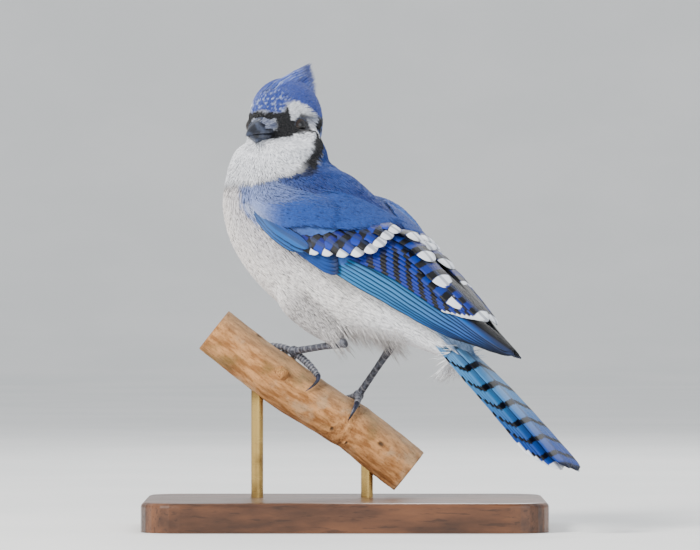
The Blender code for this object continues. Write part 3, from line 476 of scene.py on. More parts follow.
def material(name, roughness=0.6, metallic=0.0, sheen=0.0, coat=0.0, coat_rough=0.05, specular=0.28):
    made = bpy.data.materials.new(name)
    made.use_nodes = True
    shader = made.node_tree.nodes["Principled BSDF"]
    shader.inputs["Roughness"].default_value = roughness
    shader.inputs["Metallic"].default_value = metallic
    shader.inputs["Sheen Weight"].default_value = sheen
    shader.inputs["Coat Weight"].default_value = coat
    shader.inputs["Coat Roughness"].default_value = coat_rough
    shader.inputs["Specular IOR Level"].default_value = specular
    return made


class Wires:
    """Short ways to add and join a material's nodes."""

    def __init__(self, look):
        self.tree = look.node_tree
        self.shader = self.tree.nodes["Principled BSDF"]

    def put(self, socket, value):
        if isinstance(value, bpy.types.NodeSocket):
            self.tree.links.new(value, socket)
        elif isinstance(value, np.ndarray) and len(value) == 3 and len(socket.default_value) == 4:
            socket.default_value = (*value, 1.0)
        else:
            socket.default_value = value

    def node(self, kind, out=0, **sockets):
        made = self.tree.nodes.new("ShaderNode" + kind)
        for key, value in sockets.items():
            if hasattr(made, key):
                setattr(made, key, value)
            else:
                self.put(made.inputs[key.replace("_", " ")], value)
        return made.outputs[out]

    def math(self, operation, a, b=0.0, c=0.0):
        made = self.tree.nodes.new("ShaderNodeMath")
        made.operation = operation
        for socket, value in zip(made.inputs, (a, b, c)):
            self.put(socket, value)
        return made.outputs[0]

    def fade(self, value, low, high):
        """0 below low and 1 above high, eased between; low may be the greater one."""
        made = self.tree.nodes.new("ShaderNodeMapRange")
        made.interpolation_type = "SMOOTHSTEP"
        a, b = min(low, high), max(low, high)
        for socket, number in zip(made.inputs, (value, a, b, float(low > high), float(low <= high))):
            self.put(socket, number)
        return made.outputs[0]

    def blend(self, share, a, b, mode="MIX"):
        made = self.tree.nodes.new("ShaderNodeMix")
        made.data_type = "RGBA"
        made.blend_type = mode
        self.put(made.inputs[0], share)
        self.put(made.inputs[6], a)
        self.put(made.inputs[7], b)
        return made.outputs[2]

    def noise(self, place, scale, detail=3.0, rough=0.55):
        return self.node("TexNoise", Vector=place, Scale=scale, Detail=detail, Roughness=rough)

    def spot(self):
        return self.node("TexCoord", out=3)

    def read(self, name, out=0):
        made = self.tree.nodes.new("ShaderNodeAttribute")
        made.attribute_name = name
        return made.outputs[out]

    def stretch(self, place, size):
        return self.node("Mapping", Vector=place, Scale=size)

    def colour(self, value):
        self.put(self.shader.inputs["Base Color"], value)

    def vary_rough(self, value, low, high):
        spread = self.node("MapRange", Value=value, From_Min=0.3, From_Max=0.7, To_Min=low, To_Max=high)
        self.put(self.shader.inputs["Roughness"], spread)

    def bump(self, height, strength, distance):
        made = self.tree.nodes.new("ShaderNodeBump")
        made.inputs["Strength"].default_value = strength
        made.inputs["Distance"].default_value = distance
        self.put(made.inputs["Height"], height)
        self.put(self.shader.inputs["Normal"], made.outputs[0])


def down_look(name):
    """Soft plumage: its markings, with painted shade, are on the piece, and a fine grain varies them."""
    look = material(name, roughness=0.78, sheen=0.12, specular=0.25)
    w = Wires(look)
    grain = w.noise(w.spot(), 900.0, 2.0)
    tone = w.fade(grain, 0.25, 0.75)
    shade = w.blend(tone, np.array((0.80, 0.80, 0.82)), np.array((1.12, 1.12, 1.12)))
    w.colour(w.blend(1.0, w.read("MarkingAndShade"), shade, "MULTIPLY"))
    return look


def vane_look(name, roughness=0.45, bar=0.17):
    """Flight feathers: bars, white tips and dark webs that run with each feather, with fine barbs."""
    look = material(name, roughness=roughness, specular=0.25)
    w = Wires(look)
    marks = w.tree.nodes.new("ShaderNodeSeparateColor")
    w.put(marks.inputs[0], w.read("Marks"))
    phase = w.read("Marks", 3)
    web = w.node("UVMap", uv_map="Vane")
    wander = w.noise(w.stretch(web, (60.0, 60.0, 1.0)), 1.0, 2.0)
    wobble = w.math("MULTIPLY_ADD", wander, 0.24, -0.12)
    step = w.math("ADD", phase, wobble)
    near = w.math("ABSOLUTE", w.math("SUBTRACT", step, w.math("ROUND", step)))
    bars = w.math("MULTIPLY", w.fade(near, bar + 0.02, bar - 0.02), marks.outputs[1])
    white = w.fade(w.math("ADD", marks.outputs[0], w.math("MULTIPLY", wobble, 0.6)), 0.44, 0.56)
    dark = w.fade(marks.outputs[2], 0.36, 0.64)
    split = w.tree.nodes.new("ShaderNodeSeparateXYZ")
    w.put(split.inputs[0], web)
    across = w.math("ABSOLUTE", w.math("SUBTRACT", split.outputs[0], 0.5))
    barb = w.math("MULTIPLY_ADD", across, -14.0, w.math("MULTIPLY", split.outputs[1], 20.0))
    lines = w.math("SINE", w.math("MULTIPLY", barb, 60.0))
    shaft = w.fade(across, 0.022, 0.010)
    tone = w.blend(w.fade(lines, -1.0, 1.0), np.array((0.82, 0.84, 0.88)), np.array((1.10, 1.10, 1.08)))
    base = w.blend(1.0, w.read("Tint"), tone, "MULTIPLY")
    base = w.blend(dark, base, BLACK)
    base = w.blend(bars, base, BLACK)
    base = w.blend(white, base, paint(236, 240, 246))
    base = w.blend(w.math("MULTIPLY", shaft, 0.55), base, paint(40, 52, 84))
    w.colour(base)
    height = w.math("ADD", w.math("MULTIPLY", lines, 0.5), w.math("MULTIPLY", shaft, 3.0))
    w.bump(height, 0.35, 0.00012)
    return look


def bark_look():
    look = material("bark", roughness=0.8, specular=0.3)
    w = Wires(look)
    wrap = w.node("UVMap", uv_map="Wrap")
    streak = w.noise(w.stretch(wrap, (26.0, 9.0, 1.0)), 1.0, 5.0, 0.6)
    blotch = w.noise(w.spot(), 55.0, 4.0, 0.62)
    fine = w.noise(w.stretch(wrap, (90.0, 46.0, 1.0)), 1.0, 4.0, 0.65)
    base = w.blend(w.fade(streak, 0.34, 0.66), paint(146, 96, 52), paint(206, 150, 96))
    base = w.blend(w.math("MULTIPLY", w.fade(blotch, 0.50, 0.66), 0.60), base, paint(112, 96, 52))
    base = w.blend(w.math("MULTIPLY", w.fade(blotch, 0.44, 0.32), 0.55), base, paint(196, 168, 132))
    base = w.blend(w.math("MULTIPLY", w.read("Top", 2), 0.5), base, paint(142, 130, 108))
    base = w.blend(w.math("MULTIPLY", w.fade(fine, 0.52, 0.70), 0.5), base, paint(84, 60, 34))
    base = w.blend(w.math("MULTIPLY", w.read("Scar", 2), 0.85), base, paint(58, 44, 30))
    w.colour(base)
    w.vary_rough(fine, 0.66, 0.92)
    w.bump(w.math("ADD", w.math("MULTIPLY", streak, 0.6), fine), 0.6, 0.0006)
    return look


def cut_look():
    """The sawn ends: growth rings round the pith."""
    look = material("cut_wood", roughness=0.7)
    w = Wires(look)
    wander = w.math("MULTIPLY", w.noise(w.spot(), 160.0, 3.0), 1.4)
    reach = w.math("ADD", w.read("Reach", 2), wander)
    ring = w.math("FRACT", w.math("MULTIPLY", reach, 0.9))
    base = w.blend(w.fade(ring, 0.55, 0.95), paint(214, 182, 132), paint(160, 118, 70))
    base = w.blend(w.fade(w.read("Reach", 2), 1.1, 0.5), base, paint(120, 84, 50))
    w.colour(base)
    w.bump(ring, 0.3, 0.0002)
    return look


def wood_look():
    look = material("base_wood", roughness=0.38, coat=0.35, coat_rough=0.18)
    w = Wires(look)
    grain_place = w.stretch(w.spot(), (14.0, 160.0, 60.0))
    grain = w.noise(grain_place, 1.0, 6.0, 0.62)
    pores = w.noise(w.stretch(w.spot(), (90.0, 1500.0, 700.0)), 1.0, 3.0)
    base = w.blend(w.fade(grain, 0.34, 0.68), paint(58, 36, 24), paint(112, 72, 46))
    base = w.blend(w.math("MULTIPLY", w.fade(pores, 0.56, 0.66), 0.5), base, paint(30, 19, 13))
    w.colour(base)
    w.vary_rough(pores, 0.30, 0.48)
    w.bump(w.math("ADD", grain, pores), 0.12, 0.0003)
    return look


def brass_look():
    look = material("rod_brass", roughness=0.3, metallic=1.0)
    w = Wires(look)
    turned = w.noise(w.stretch(w.spot(), (40.0, 40.0, 2600.0)), 1.0, 2.0)
    age = w.noise(w.spot(), 70.0, 4.0)
    w.colour(w.blend(w.fade(age, 0.40, 0.72), paint(196, 164, 98), paint(128, 98, 56)))
    w.vary_rough(turned, 0.24, 0.42)
    w.bump(turned, 0.10, 0.0001)
    return look


def horn_look(name, dark, light, roughness, size):
    """Horn with fine lengthwise growth lines; its paler, bluish tone in soft clouds and along those lines is a
    painted sheen.
    """
    look = material(name, roughness=roughness, coat=0.25, coat_rough=0.2)
    w = Wires(look)
    wrap = w.node("UVMap", uv_map="Wrap")
    lines = w.noise(w.stretch(wrap, (size, 3.0, 1.0)), 1.0, 4.0)
    cloud = w.noise(w.spot(), 260.0, 3.0)
    base = w.blend(w.fade(cloud, 0.38, 0.70), dark, light)
    w.colour(w.blend(w.math("MULTIPLY", w.fade(lines, 0.45, 0.75), 0.35), base, light))
    w.vary_rough(lines, roughness - 0.08, roughness + 0.14)
    w.bump(lines, 0.25, 0.0002)
    return look


def scute_look():
    """Leg scales: dark plates with pale, dusty edges."""
    look = material("leg_scales", roughness=0.5, coat=0.15, coat_rough=0.3)
    w = Wires(look)
    dust = w.noise(w.spot(), 900.0, 3.0)
    base = w.blend(w.fade(dust, 0.35, 0.7), paint(44, 46, 54), paint(92, 96, 108))
    base = w.blend(w.math("MULTIPLY", w.read("Seam", 2), 0.75), base, paint(150, 150, 156))
    w.colour(base)
    w.bump(dust, 0.25, 0.0002)
    return look


def eye_look():
    look = material("eye_gloss", roughness=0.06, coat=0.25, coat_rough=0.03, specular=0.4)
    w = Wires(look)
    turn = w.read("Gaze", 2)
    rays = w.noise(w.spot(), 1500.0, 3.0)
    iris = w.blend(w.fade(rays, 0.35, 0.65), paint(20, 12, 8), paint(44, 27, 16))
    base = w.blend(w.fade(turn, 31.0, 28.0), iris, paint(4, 4, 5))
    w.colour(w.blend(w.fade(turn, 48.0, 56.0), base, paint(12, 10, 10)))
    return look


def plain_look(name, dark, light, roughness, scale):
    look = material(name, roughness=roughness)
    w = Wires(look)
    cloud = w.noise(w.spot(), scale, 4.0)
    w.colour(w.blend(w.fade(cloud, 0.35, 0.68), dark, light))
    w.bump(cloud, 0.3, 0.0003)
    return look


DOWN = down_look("body_plumage")
FACE_DOWN = down_look("head_plumage")
SKIN = down_look("under_plumage")
VANE = vane_look("wing_vanes")
SQUARE_VANE = vane_look("barred_vanes", 0.42, 0.24)
TAIL_VANE = vane_look("tail_vanes", 0.42, 0.14)
BARK, CUT, WOOD, BRASS = bark_look(), cut_look(), wood_look(), brass_look()
# The paler colour of the bill and of the claws is a painted blue sheen on dark horn.
BILL = horn_look("bill_horn", paint(24, 26, 34), paint(70, 78, 98), 0.32, 30.0)
CLAW = horn_look("claw_horn", paint(16, 17, 24), paint(58, 62, 84), 0.28, 12.0)
SCALES, EYE = scute_look(), eye_look()
LID = plain_look("lid_skin", paint(26, 28, 36), paint(96, 102, 120), 0.6, 1300.0)
FLOOR = plain_look("pale_floor", paint(232, 233, 231), paint(238, 238, 236), 0.75, 6.0)


# Meshes

def settle(piece, slot, replaces=()):
    """Puts a finished piece on the model's one body."""
    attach(piece, "root")
    if replaces:
        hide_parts(*replaces)
    return piece


def show(name, data):
    """A new object of the scene."""
    made = bpy.data.objects.new(name, data)
    bpy.context.scene.collection.objects.link(made)
    return made


def new_piece(name, shape, looks):
    mesh = bpy.data.meshes.new(name)
    shape.to_mesh(mesh)
    shape.free()
    for look in looks:
        mesh.materials.append(look)
    mesh.shade_smooth()
    return show(name, mesh)


def soften(shape, verts, times):
    for _ in range(times):
        bmesh.ops.smooth_vert(
            shape, verts=verts, factor=0.5, use_axis_x=True, use_axis_y=True, use_axis_z=True
        )


def wrapped(columns, rows, place, marks=(), size=(1.0, 1.0)):
    """A sheet bent round until its sides meet, with its ends closed. place(turn, row) gives metres."""
    shape = bmesh.new()
    bmesh.ops.create_grid(shape, x_segments=columns, y_segments=rows, size=0.5)
    flat = np.array([vert.co for vert in shape.verts])
    turn, row = flat[:, 0] + 0.5, (flat[:, 1] + 0.5) * rows
    web = shape.loops.layers.uv.new("Wrap")
    for face in shape.faces:
        for loop in face.loops:
            loop[web].uv = ((loop.vert.co.x + 0.5) * size[0], (loop.vert.co.y + 0.5) * size[1])
    for name, value in marks:
        layer = shape.verts.layers.float.new(name)
        for vert, number in zip(shape.verts, value(turn, row)):
            vert[layer] = number
    for vert, spot in zip(shape.verts, place(turn, row)):
        vert.co = spot
    bmesh.ops.remove_doubles(shape, verts=shape.verts, dist=1e-7)
    rims = [edge for edge in shape.edges if edge.is_boundary]
    if rims:
        bmesh.ops.holes_fill(shape, edges=rims, sides=0)
    bmesh.ops.recalc_face_normals(shape, faces=shape.faces)
    return shape


def merged(shapes):
    """Several closed shapes as one."""
    whole = bmesh.new()
    for shape in shapes:
        spare = bpy.data.meshes.new("spare")
        shape.to_mesh(spare)
        shape.free()
        whole.from_mesh(spare)
        bpy.data.meshes.remove(spare)
    return whole


def tube_frames(path, rows):
    """A path in metres read at rows + 1 places, with a pair of directions across it that don't twist."""
    line = along(path, np.linspace(0, len(path) - 1, rows + 1))
    runs = unit(np.gradient(line, axis=0))
    across = np.empty_like(line)
    across[0] = np.array(Vector(runs[0]).orthogonal().normalized())
    for i in range(1, rows + 1):
        across[i] = unit(across[i - 1] - runs[i] * (across[i - 1] @ runs[i]))
    return line, across, np.cross(runs, across)


def tube(path, radii, columns, rows, relief=None, marks=(), flat=1.0):
    """A round form along a path, with a radius in millimetres at each point of it, and an uneven surface."""
    line, across, up = tube_frames(path, rows)
    radius = along(np.array(radii, float)[:, None], np.linspace(0, len(radii) - 1, rows + 1))[:, 0]

    def place(turn, row):
        i = np.rint(row).astype(int)
        angle = 2 * math.pi * turn
        reach = radius[i] + (relief(angle, row / rows) if relief else 0.0)
        out = across[i] * np.cos(angle)[:, None] * flat + up[i] * np.sin(angle)[:, None]
        return line[i] + out * (reach * MM)[:, None]

    return wrapped(columns, rows, place, marks)


def array_mesh(name, spots, faces, look, webs=(), colours=()):
    """One mesh from arrays: points, triangles, maps for each corner and colours for each point."""
    mesh = bpy.data.meshes.new(name)
    mesh.vertices.add(len(spots))
    mesh.vertices.foreach_set("co", spots.astype(np.float32).ravel())
    mesh.loops.add(faces.size)
    mesh.loops.foreach_set("vertex_index", faces.astype(np.int32).ravel())
    mesh.polygons.add(len(faces))
    mesh.polygons.foreach_set("loop_start", np.arange(0, faces.size, 3, dtype=np.int32))
    mesh.update(calc_edges=True)
    for title, web in webs:
        layer = mesh.uv_layers.new(name=title)
        layer.data.foreach_set("uv", web[faces.ravel()].astype(np.float32).ravel())
    for title, colour in colours:
        layer = mesh.color_attributes.new(title, "FLOAT_COLOR", "POINT")
        if colour.shape[1] == 3:
            colour = np.concatenate([colour, np.ones((len(colour), 1))], 1)
        layer.data.foreach_set("color", colour.astype(np.float32).ravel())
    mesh.materials.append(look)
    mesh.shade_smooth()
    return show(name, mesh)


def blade(rings):
    """One closed, three-sided barb: x and y across it, z from 0 at its root to 1 at its tip."""
    shape = bmesh.new()
    bmesh.ops.create_circle(shape, cap_ends=True, segments=3, radius=1.0)
    edges = list(shape.edges)
    for step in range(1, rings + 1):
        made = bmesh.ops.extrude_edge_only(shape, edges=edges)["geom"]
        verts = [item for item in made if isinstance(item, bmesh.types.BMVert)]
        edges = [item for item in made if isinstance(item, bmesh.types.BMEdge)]
        for vert in verts:
            vert.co.z = step / rings
    bmesh.ops.pointmerge(shape, verts=verts, merge_co=Vector((0, 0, 1)))
    bmesh.ops.recalc_face_normals(shape, faces=shape.faces)
    bmesh.ops.triangulate(shape, faces=shape.faces)
    spots = np.array([vert.co for vert in shape.verts])
    shape.verts.index_update()
    faces = np.array([[vert.index for vert in face.verts] for face in shape.faces])
    shape.free()
    return spots, faces


def web_sheet(across, lengthwise):
    """One closed, thin sheet: x from -1 to 1 across it, y from 0 to 1 along it, z 0 above and -1 below."""
    shape = bmesh.new()
    bmesh.ops.create_grid(shape, x_segments=across, y_segments=lengthwise, size=1.0)
    bmesh.ops.solidify(shape, geom=list(shape.faces), thickness=0.01)
    bmesh.ops.recalc_face_normals(shape, faces=shape.faces)
    bmesh.ops.triangulate(shape, faces=shape.faces)
    shape.verts.index_update()
    spots = np.array([vert.co for vert in shape.verts])
    faces = np.array([[vert.index for vert in face.verts] for face in shape.faces])
    shape.free()
    spots[:, 2] = np.where(spots[:, 2] > spots[:, 2].mean(), 0.0, -1.0)
    spots[:, 1] = (spots[:, 1] + 1) / 2
    return spots, faces


BARB, BARB_FACES = blade(3)


def four_points(place):
    """Four points along each barb. place(t) gives them all, for t from 0 at the roots to 1 at the tips."""
    return np.stack([place(k / 3) for k in range(4)], 1)


def barbs(name, lines, outs, widths, colours, spots, look, slot):
    """Joined barbs. lines holds four points each, outs the way out of the skin at each, in metres."""
    whole = len(lines)
    count = -(-whole // BARBS_A_PIECE)
    for part in range(count):
        pick = slice(part * whole // count, (part + 1) * whole // count)
        line, out, width = lines[pick], outs[pick], widths[pick]
        run = unit(np.gradient(line, axis=1))
        side = unit(np.cross(run, out))
        level = np.rint(BARB[:, 2] * 3).astype(int)
        swell = np.array((0.7, 1.0, 0.78, 0.0))[level]
        spread = BARB[:, 0] * swell
        thick = BARB[:, 1] * swell * 0.30
        made = line[:, level] + side[:, level] * (spread * width[:, None])[..., None]
        made = made + out[:, level] * (thick * width[:, None])[..., None]
        faces = (BARB_FACES[None] + (np.arange(len(line)) * len(BARB))[:, None, None]).reshape(-1, 3)
        web = spots[pick][:, None] + np.stack([BARB[:, 0], BARB[:, 2] - 0.5], -1)[None] * 0.0015
        tint = np.repeat(colours[pick][:, None], len(BARB), 1)
        # Painted shade: each barb is darker at its root and lighter at its tip, where barbs lie under one
        # another.
        tint = tint * (0.93 + 0.10 * BARB[:, 2])[None, :, None]
        title = name if count == 1 else f"{name}_{part + 1}"
        piece = array_mesh(title, made.reshape(-1, 3), faces, look, (("OFBake", web.reshape(-1, 2)),),
                           (("MarkingAndShade", tint.reshape(-1, 3)),))
        settle(piece, slot)


# Skin

def body_shape():
    """The body along the spine, as one closed form."""
    rows, columns = 60, 64

    def place(turn, row):
        here = along(SPINE, row / rows * (len(SPINE) - 1))
        run = SPINE_RUNS[np.rint(row / rows * 400).astype(int)]
        angle = 2 * math.pi * turn
        left, up = here[:, 2] * np.cos(angle), np.sin(angle)
        up = np.where(up > 0, here[:, 3], here[:, 4]) * up
        return to_world(np.stack([here[:, 0] - run[:, 1] * up, left, here[:, 1] + run[:, 0] * up], -1))

    return wrapped(columns, rows, place)


def head_shape():
    rows, columns = 40, 64

    def place(turn, row):
        here = along(HEAD_SECTIONS, row / rows * (len(HEAD_SECTIONS) - 1))
        angle = 2 * math.pi * turn
        middle = (here[:, 2] + here[:, 3]) / 2
        up = middle + (here[:, 2] - here[:, 3]) / 2 * np.sin(angle)
        return head_to_world(np.stack([here[:, 0], here[:, 1] * np.cos(angle), up], -1))

    return wrapped(columns, rows, place)


def thigh_shape(name):
    knee, heel = np.array(KNEES[name]), np.array(HEELS[name])
    hip = np.array((knee[0] - 2, knee[1] * 0.8, knee[2] + 10))
    path = [hip, hip + (knee - hip) * 0.6, knee]
    path += [knee + (heel - knee) * t for t in (0.45, 0.8)] + [heel]
    return tube(to_world(path), (9.0, 10.5, 11.0, 9.0, 5.4, 3.0), 32, 30)


def arm_shape(side):
    """The folded arm under the coverts."""
    rows, columns = 24, 24

    def place(turn, row):
        share = ARM_LENGTH * row / rows
        outer = turn < 0.5
        across = np.where(outer, turn * 2, 2 - turn * 2)
        rim = 0.30 + 0.70 * np.sqrt(np.clip(4 * across * (1 - across), 0, 1))
        front = np.where(row < 0.5, 0.4, 1.0)
        lift = np.where(outer, arm_height(share, across), -ARM_DEEP * (1 - 0.55 * row / rows) * rim) * front
        point = wing_point(share, across, lift)[0]
        return to_world(point * np.array((1, side, 1)) - np.array((0, 0, WING_DROP[side])))

    return wrapped(columns, rows, place)


def draw_in(shape):
    """The face between the eyes and the bill, drawn in beside the bill's root."""
    spots = np.array([vert.co[:] for vert in shape.verts])
    head = bird_to_head(to_bird(spots))
    forward, left, up = head.T
    room = np.interp(forward, (2, 5, 8, 10, 12, 16), (13.5, 11.0, 7.8, 5.6, 4.0, 2.2))
    share = ease(2.0, 6.0, forward) * ease(-10.5, -6.5, up) * ease(6.0, 3.0, up)
    head[:, 1] = np.sign(left) * (np.abs(left) - share * np.maximum(0, np.abs(left) - room))
    moved = head_to_world(head)
    for vert, spot, part in zip(shape.verts, moved, share):
        if part > 0:
            vert.co = Vector(spot)
    soften(shape, [vert for vert, part in zip(shape.verts, share) if part > 0], 2)


def skin():
    """One skin over the body, head, arms and thighs, a coat's depth inside them, with the coat's markings at
    0.8 of their brightness as painted shade under the coat.
    """
    thighs = [thigh_shape("left"), thigh_shape("right")]
    shape = merged([body_shape(), head_shape(), *thighs, arm_shape(1), arm_shape(-1)])
    rough = new_piece("rough", shape, [])
    step = rough.modifiers.new("one", "REMESH")
    step.mode, step.voxel_size = "VOXEL", 0.00095
    graph = bpy.context.evaluated_depsgraph_get()
    shape = bmesh.new()
    shape.from_mesh(rough.evaluated_get(graph).to_mesh())
    bpy.data.objects.remove(rough, do_unlink=True)
    soften(shape, shape.verts, 4)
    shape.normal_update()
    for vert in shape.verts:
        vert.co -= vert.normal * SKIN_DEPTH * MM
    draw_in(shape)
    bmesh.ops.recalc_face_normals(shape, faces=shape.faces)
    piece = new_piece("skin", shape, [SKIN])
    mesh = piece.data
    spots = np.empty(len(mesh.vertices) * 3, np.float32)
    mesh.vertices.foreach_get("co", spots)
    points = to_bird(spots.reshape(-1, 3))
    # Painted shade: the skin under the coat takes the markings at 0.8 of their brightness.
    colour = np.concatenate([markings(points) * 0.8, np.ones((len(points), 1))], 1)
    layer = mesh.color_attributes.new("MarkingAndShade", "FLOAT_COLOR", "POINT")
    layer.data.foreach_set("color", colour.astype(np.float32).ravel())
    web = mesh.uv_layers.new(name="OFBake")
    corner = np.empty(len(mesh.loops), np.int32)
    mesh.loops.foreach_get("vertex_index", corner)
    start = np.empty(len(mesh.polygons), np.int32)
    mesh.polygons.foreach_get("loop_start", start)
    flat = bake_spot(points)[corner]
    size = np.diff(np.append(start, len(corner)))
    first = np.repeat(flat[start], size, 0)
    flat = np.where(np.abs(flat - first).max(1, keepdims=True) > 0.06, first, flat)
    web.data.foreach_set("uv", flat.astype(np.float32).ravel())
    return settle(piece, "body_feathers", ("head", "neck", "torso", "rump", "thigh_left", "thigh_right"))


def scatter(piece, density):
    """Even points on a piece, and the way out of it. density gives how many to a square millimetre."""
    mesh = piece.data
    mesh.calc_loop_triangles()
    corner = np.empty(len(mesh.loop_triangles) * 3, np.int32)
    mesh.loop_triangles.foreach_get("vertices", corner)
    spots = np.empty(len(mesh.vertices) * 3, np.float32)
    mesh.vertices.foreach_get("co", spots)
    out = np.empty(len(mesh.vertices) * 3, np.float32)
    mesh.vertices.foreach_get("normal", out)
    spots, out, corner = spots.reshape(-1, 3), out.reshape(-1, 3), corner.reshape(-1, 3)
    a, b, c = (spots[corner[:, i]] for i in range(3))
    area = np.linalg.norm(np.cross(b - a, c - a), axis=1) / 2 / MM ** 2
    weight = area * density(to_bird((a + b + c) / 3))
    total = np.cumsum(weight)
    count = int(total[-1])
    pick = np.searchsorted(total, (np.arange(count) + RANDOM.random(count)) / count * total[-1])
    pick = np.minimum(pick, len(corner) - 1)
    p, q = RANDOM.random((2, count))
    p, q = np.where(p + q > 1, 1 - p, p), np.where(p + q > 1, 1 - q, q)
    share = np.stack([1 - p - q, p, q], -1)[..., None]
    points = (spots[corner[pick]] * share).sum(1)
    return to_bird(points), unit((out[corner[pick]] * share).sum(1))


def eye_gap(points):
    """How far points are from the line that an eye looks along, in millimetres, near the eye."""
    head = bird_to_head(points)
    head[:, 1] = np.abs(head[:, 1])
    look = unit(np.array((0.34, 0.94, 0.04)))
    out = head - np.array(EYE_PLACE)
    forward = out @ look
    gap = np.linalg.norm(out - forward[:, None] * look, axis=1)
    return np.where(forward > -1.0, gap, 99.0)


def bill_gap(points):
    """How far points are from the bill's middle line, as a share of its thickness."""
    head = bird_to_head(points)
    thick = np.interp(head[:, 0], (8, 16, 24, 27), (5.0, 4.0, 2.0, 0.6))
    gap = np.hypot(head[:, 1], (head[:, 2] + 3.4) * 0.85) / thick
    return np.where(head[:, 0] > 8.6, gap, 99.0)


def coat_density(points):
    """How many barbs grow on a square millimetre: more on the face, none on eyes or under coverts."""
    density = np.interp(points[:, 2], (28, 38), (2.3, 3.6))
    face = bird_to_head(points)[:, 0]
    density = density * np.where((points[:, 2] > 38) & (face > -2), 1.5, 1.0)
    gap, share, across, _ = arm_read(points)
    limit = np.interp(across, (0.07, 0.23, 0.34, 0.515, 0.8, 1.0), (0.09, 0.182, 0.225, 0.352, 0.42, 0.45))
    density = np.where((gap < 2) & (share > limit - 0.045), 0.0, density)
    return density * np.where(eye_gap(points) < LID_RING, 0.0, 1.0)


def coat_length(points):
    """How long the barbs are, in millimetres."""
    place, _, _ = spine_read(points)
    head = bird_to_head(points)
    _, above = neck_read(points)
    on_head = ease(-6, 3, above) * ease(18, 26, points[:, 2])
    length = np.interp(place, (0, 1.5, 3, 5, 7, 10), (13.0, 12.0, 10.0, 8.6, 7.6, 6.4))
    snout = np.clip((14 - head[:, 0]) / 26, 0, 1)
    chin = ease(-5, -12, head[:, 2])
    length = length * (1 - on_head) + (1.7 + 2.8 * snout + 2.6 * chin) * on_head
    gap, share, _, _ = arm_read(points)
    length = np.where(gap < 2.0, 4.6 + 6 * share, length)
    inside, down, _ = leg_read(points)
    length = np.where((inside < 1.2) & (down > 0), 5.2 - 1.6 * down, length)
    eye = eye_gap(points)
    length = np.minimum(length, np.where(eye < 9, 0.9 + 0.45 * np.maximum(eye - 3.2, 0), 99))
    return np.where((head[:, 0] > 6) & (head[:, 2] > -8), np.minimum(length, 1.7), length)


def hugging(piece, points, outs, ways, length, lift):
    """Lines that follow the skin from their roots, and the way out of it along them."""
    tree = BVHTree.FromPolygons(
        [vert.co[:] for vert in piece.data.vertices], [list(face.vertices) for face in piece.data.polygons]
    )
    line = np.empty((len(points), 4, 3))
    out = np.empty_like(line)
    spot, way = to_world(points), turn_to_world(ways)
    normal = outs.astype(float)
    for k, rise in enumerate((-0.30, 0.60, 0.90, 0.75)):
        if k:
            spot = spot + way * (length / 3 * MM)[:, None]
            for i in range(len(spot)):
                near, away, _, far = tree.find_nearest(Vector(spot[i]))
                if far < 0.0014:
                    spot[i], normal[i] = near, away
        way = unit(way - normal * (way * normal).sum(1, keepdims=True))
        line[:, k] = spot + normal * (rise * lift * MM)[:, None]
        out[:, k] = normal
    return line, out


def coat(piece):
    """Plumage over the whole skin, each barb laid back along the body."""
    points, outs = scatter(piece, coat_density)
    length = coat_length(points) * RANDOM.uniform(0.8, 1.2, len(points))
    width = np.interp(length, (1, 3, 6, 10), (0.20, 0.25, 0.33, 0.42)) * RANDOM.uniform(0.8, 1.2, len(points))
    swirl = np.stack([uneven(points, 7.0, 40.0), uneven(points, 7.0, 50.0), uneven(points, 7.0, 60.0)], -1)
    ways = lie(points)
    ways = unit(ways + swirl * 0.12 + RANDOM.normal(0, 0.04, ways.shape))
    lift = (0.50 + 0.25 * ease(2, 8, length)) * RANDOM.uniform(0.75, 1.2, len(points))
    line, out = hugging(piece, points, outs, ways, length, lift)
    keep = bill_gap(points) > 1.0
    for k in range(4):
        here = to_bird(line[:, k])
        keep &= eye_gap(here) > LID_RING - 0.1
        keep &= bill_gap(here) > 0.9
    shown = to_bird(line[:, 2] - out[:, 2] * MM)
    colour = markings(shown) * RANDOM.uniform(0.90, 1.08, len(points))[:, None]
    flat = bake_spot(points)
    face = points[:, 2] > HEAD_LEVEL
    for title, pick, look, slot in (
        ("head_coat", keep & face, FACE_DOWN, "crown_feathers"),
        ("body_coat", keep & ~face, DOWN, "body_feathers"),
    ):
        barbs(title, line[pick], out[pick], width[pick] * MM, colour[pick], flat[pick], look, slot)


# Crest rows: forward and height of the roots, forward and height of the tips, spread to each side
CREST_ROWS = (
    (1.0, 14.6, -20.0, 21.0, 4.2),
    (-2.0, 13.5, -28.5, 24.6, 4.2),
    (-6.0, 12.5, -29.0, 21.0, 6.0),
    (-11.0, 10.0, -28.5, 14.5, 7.4),
)


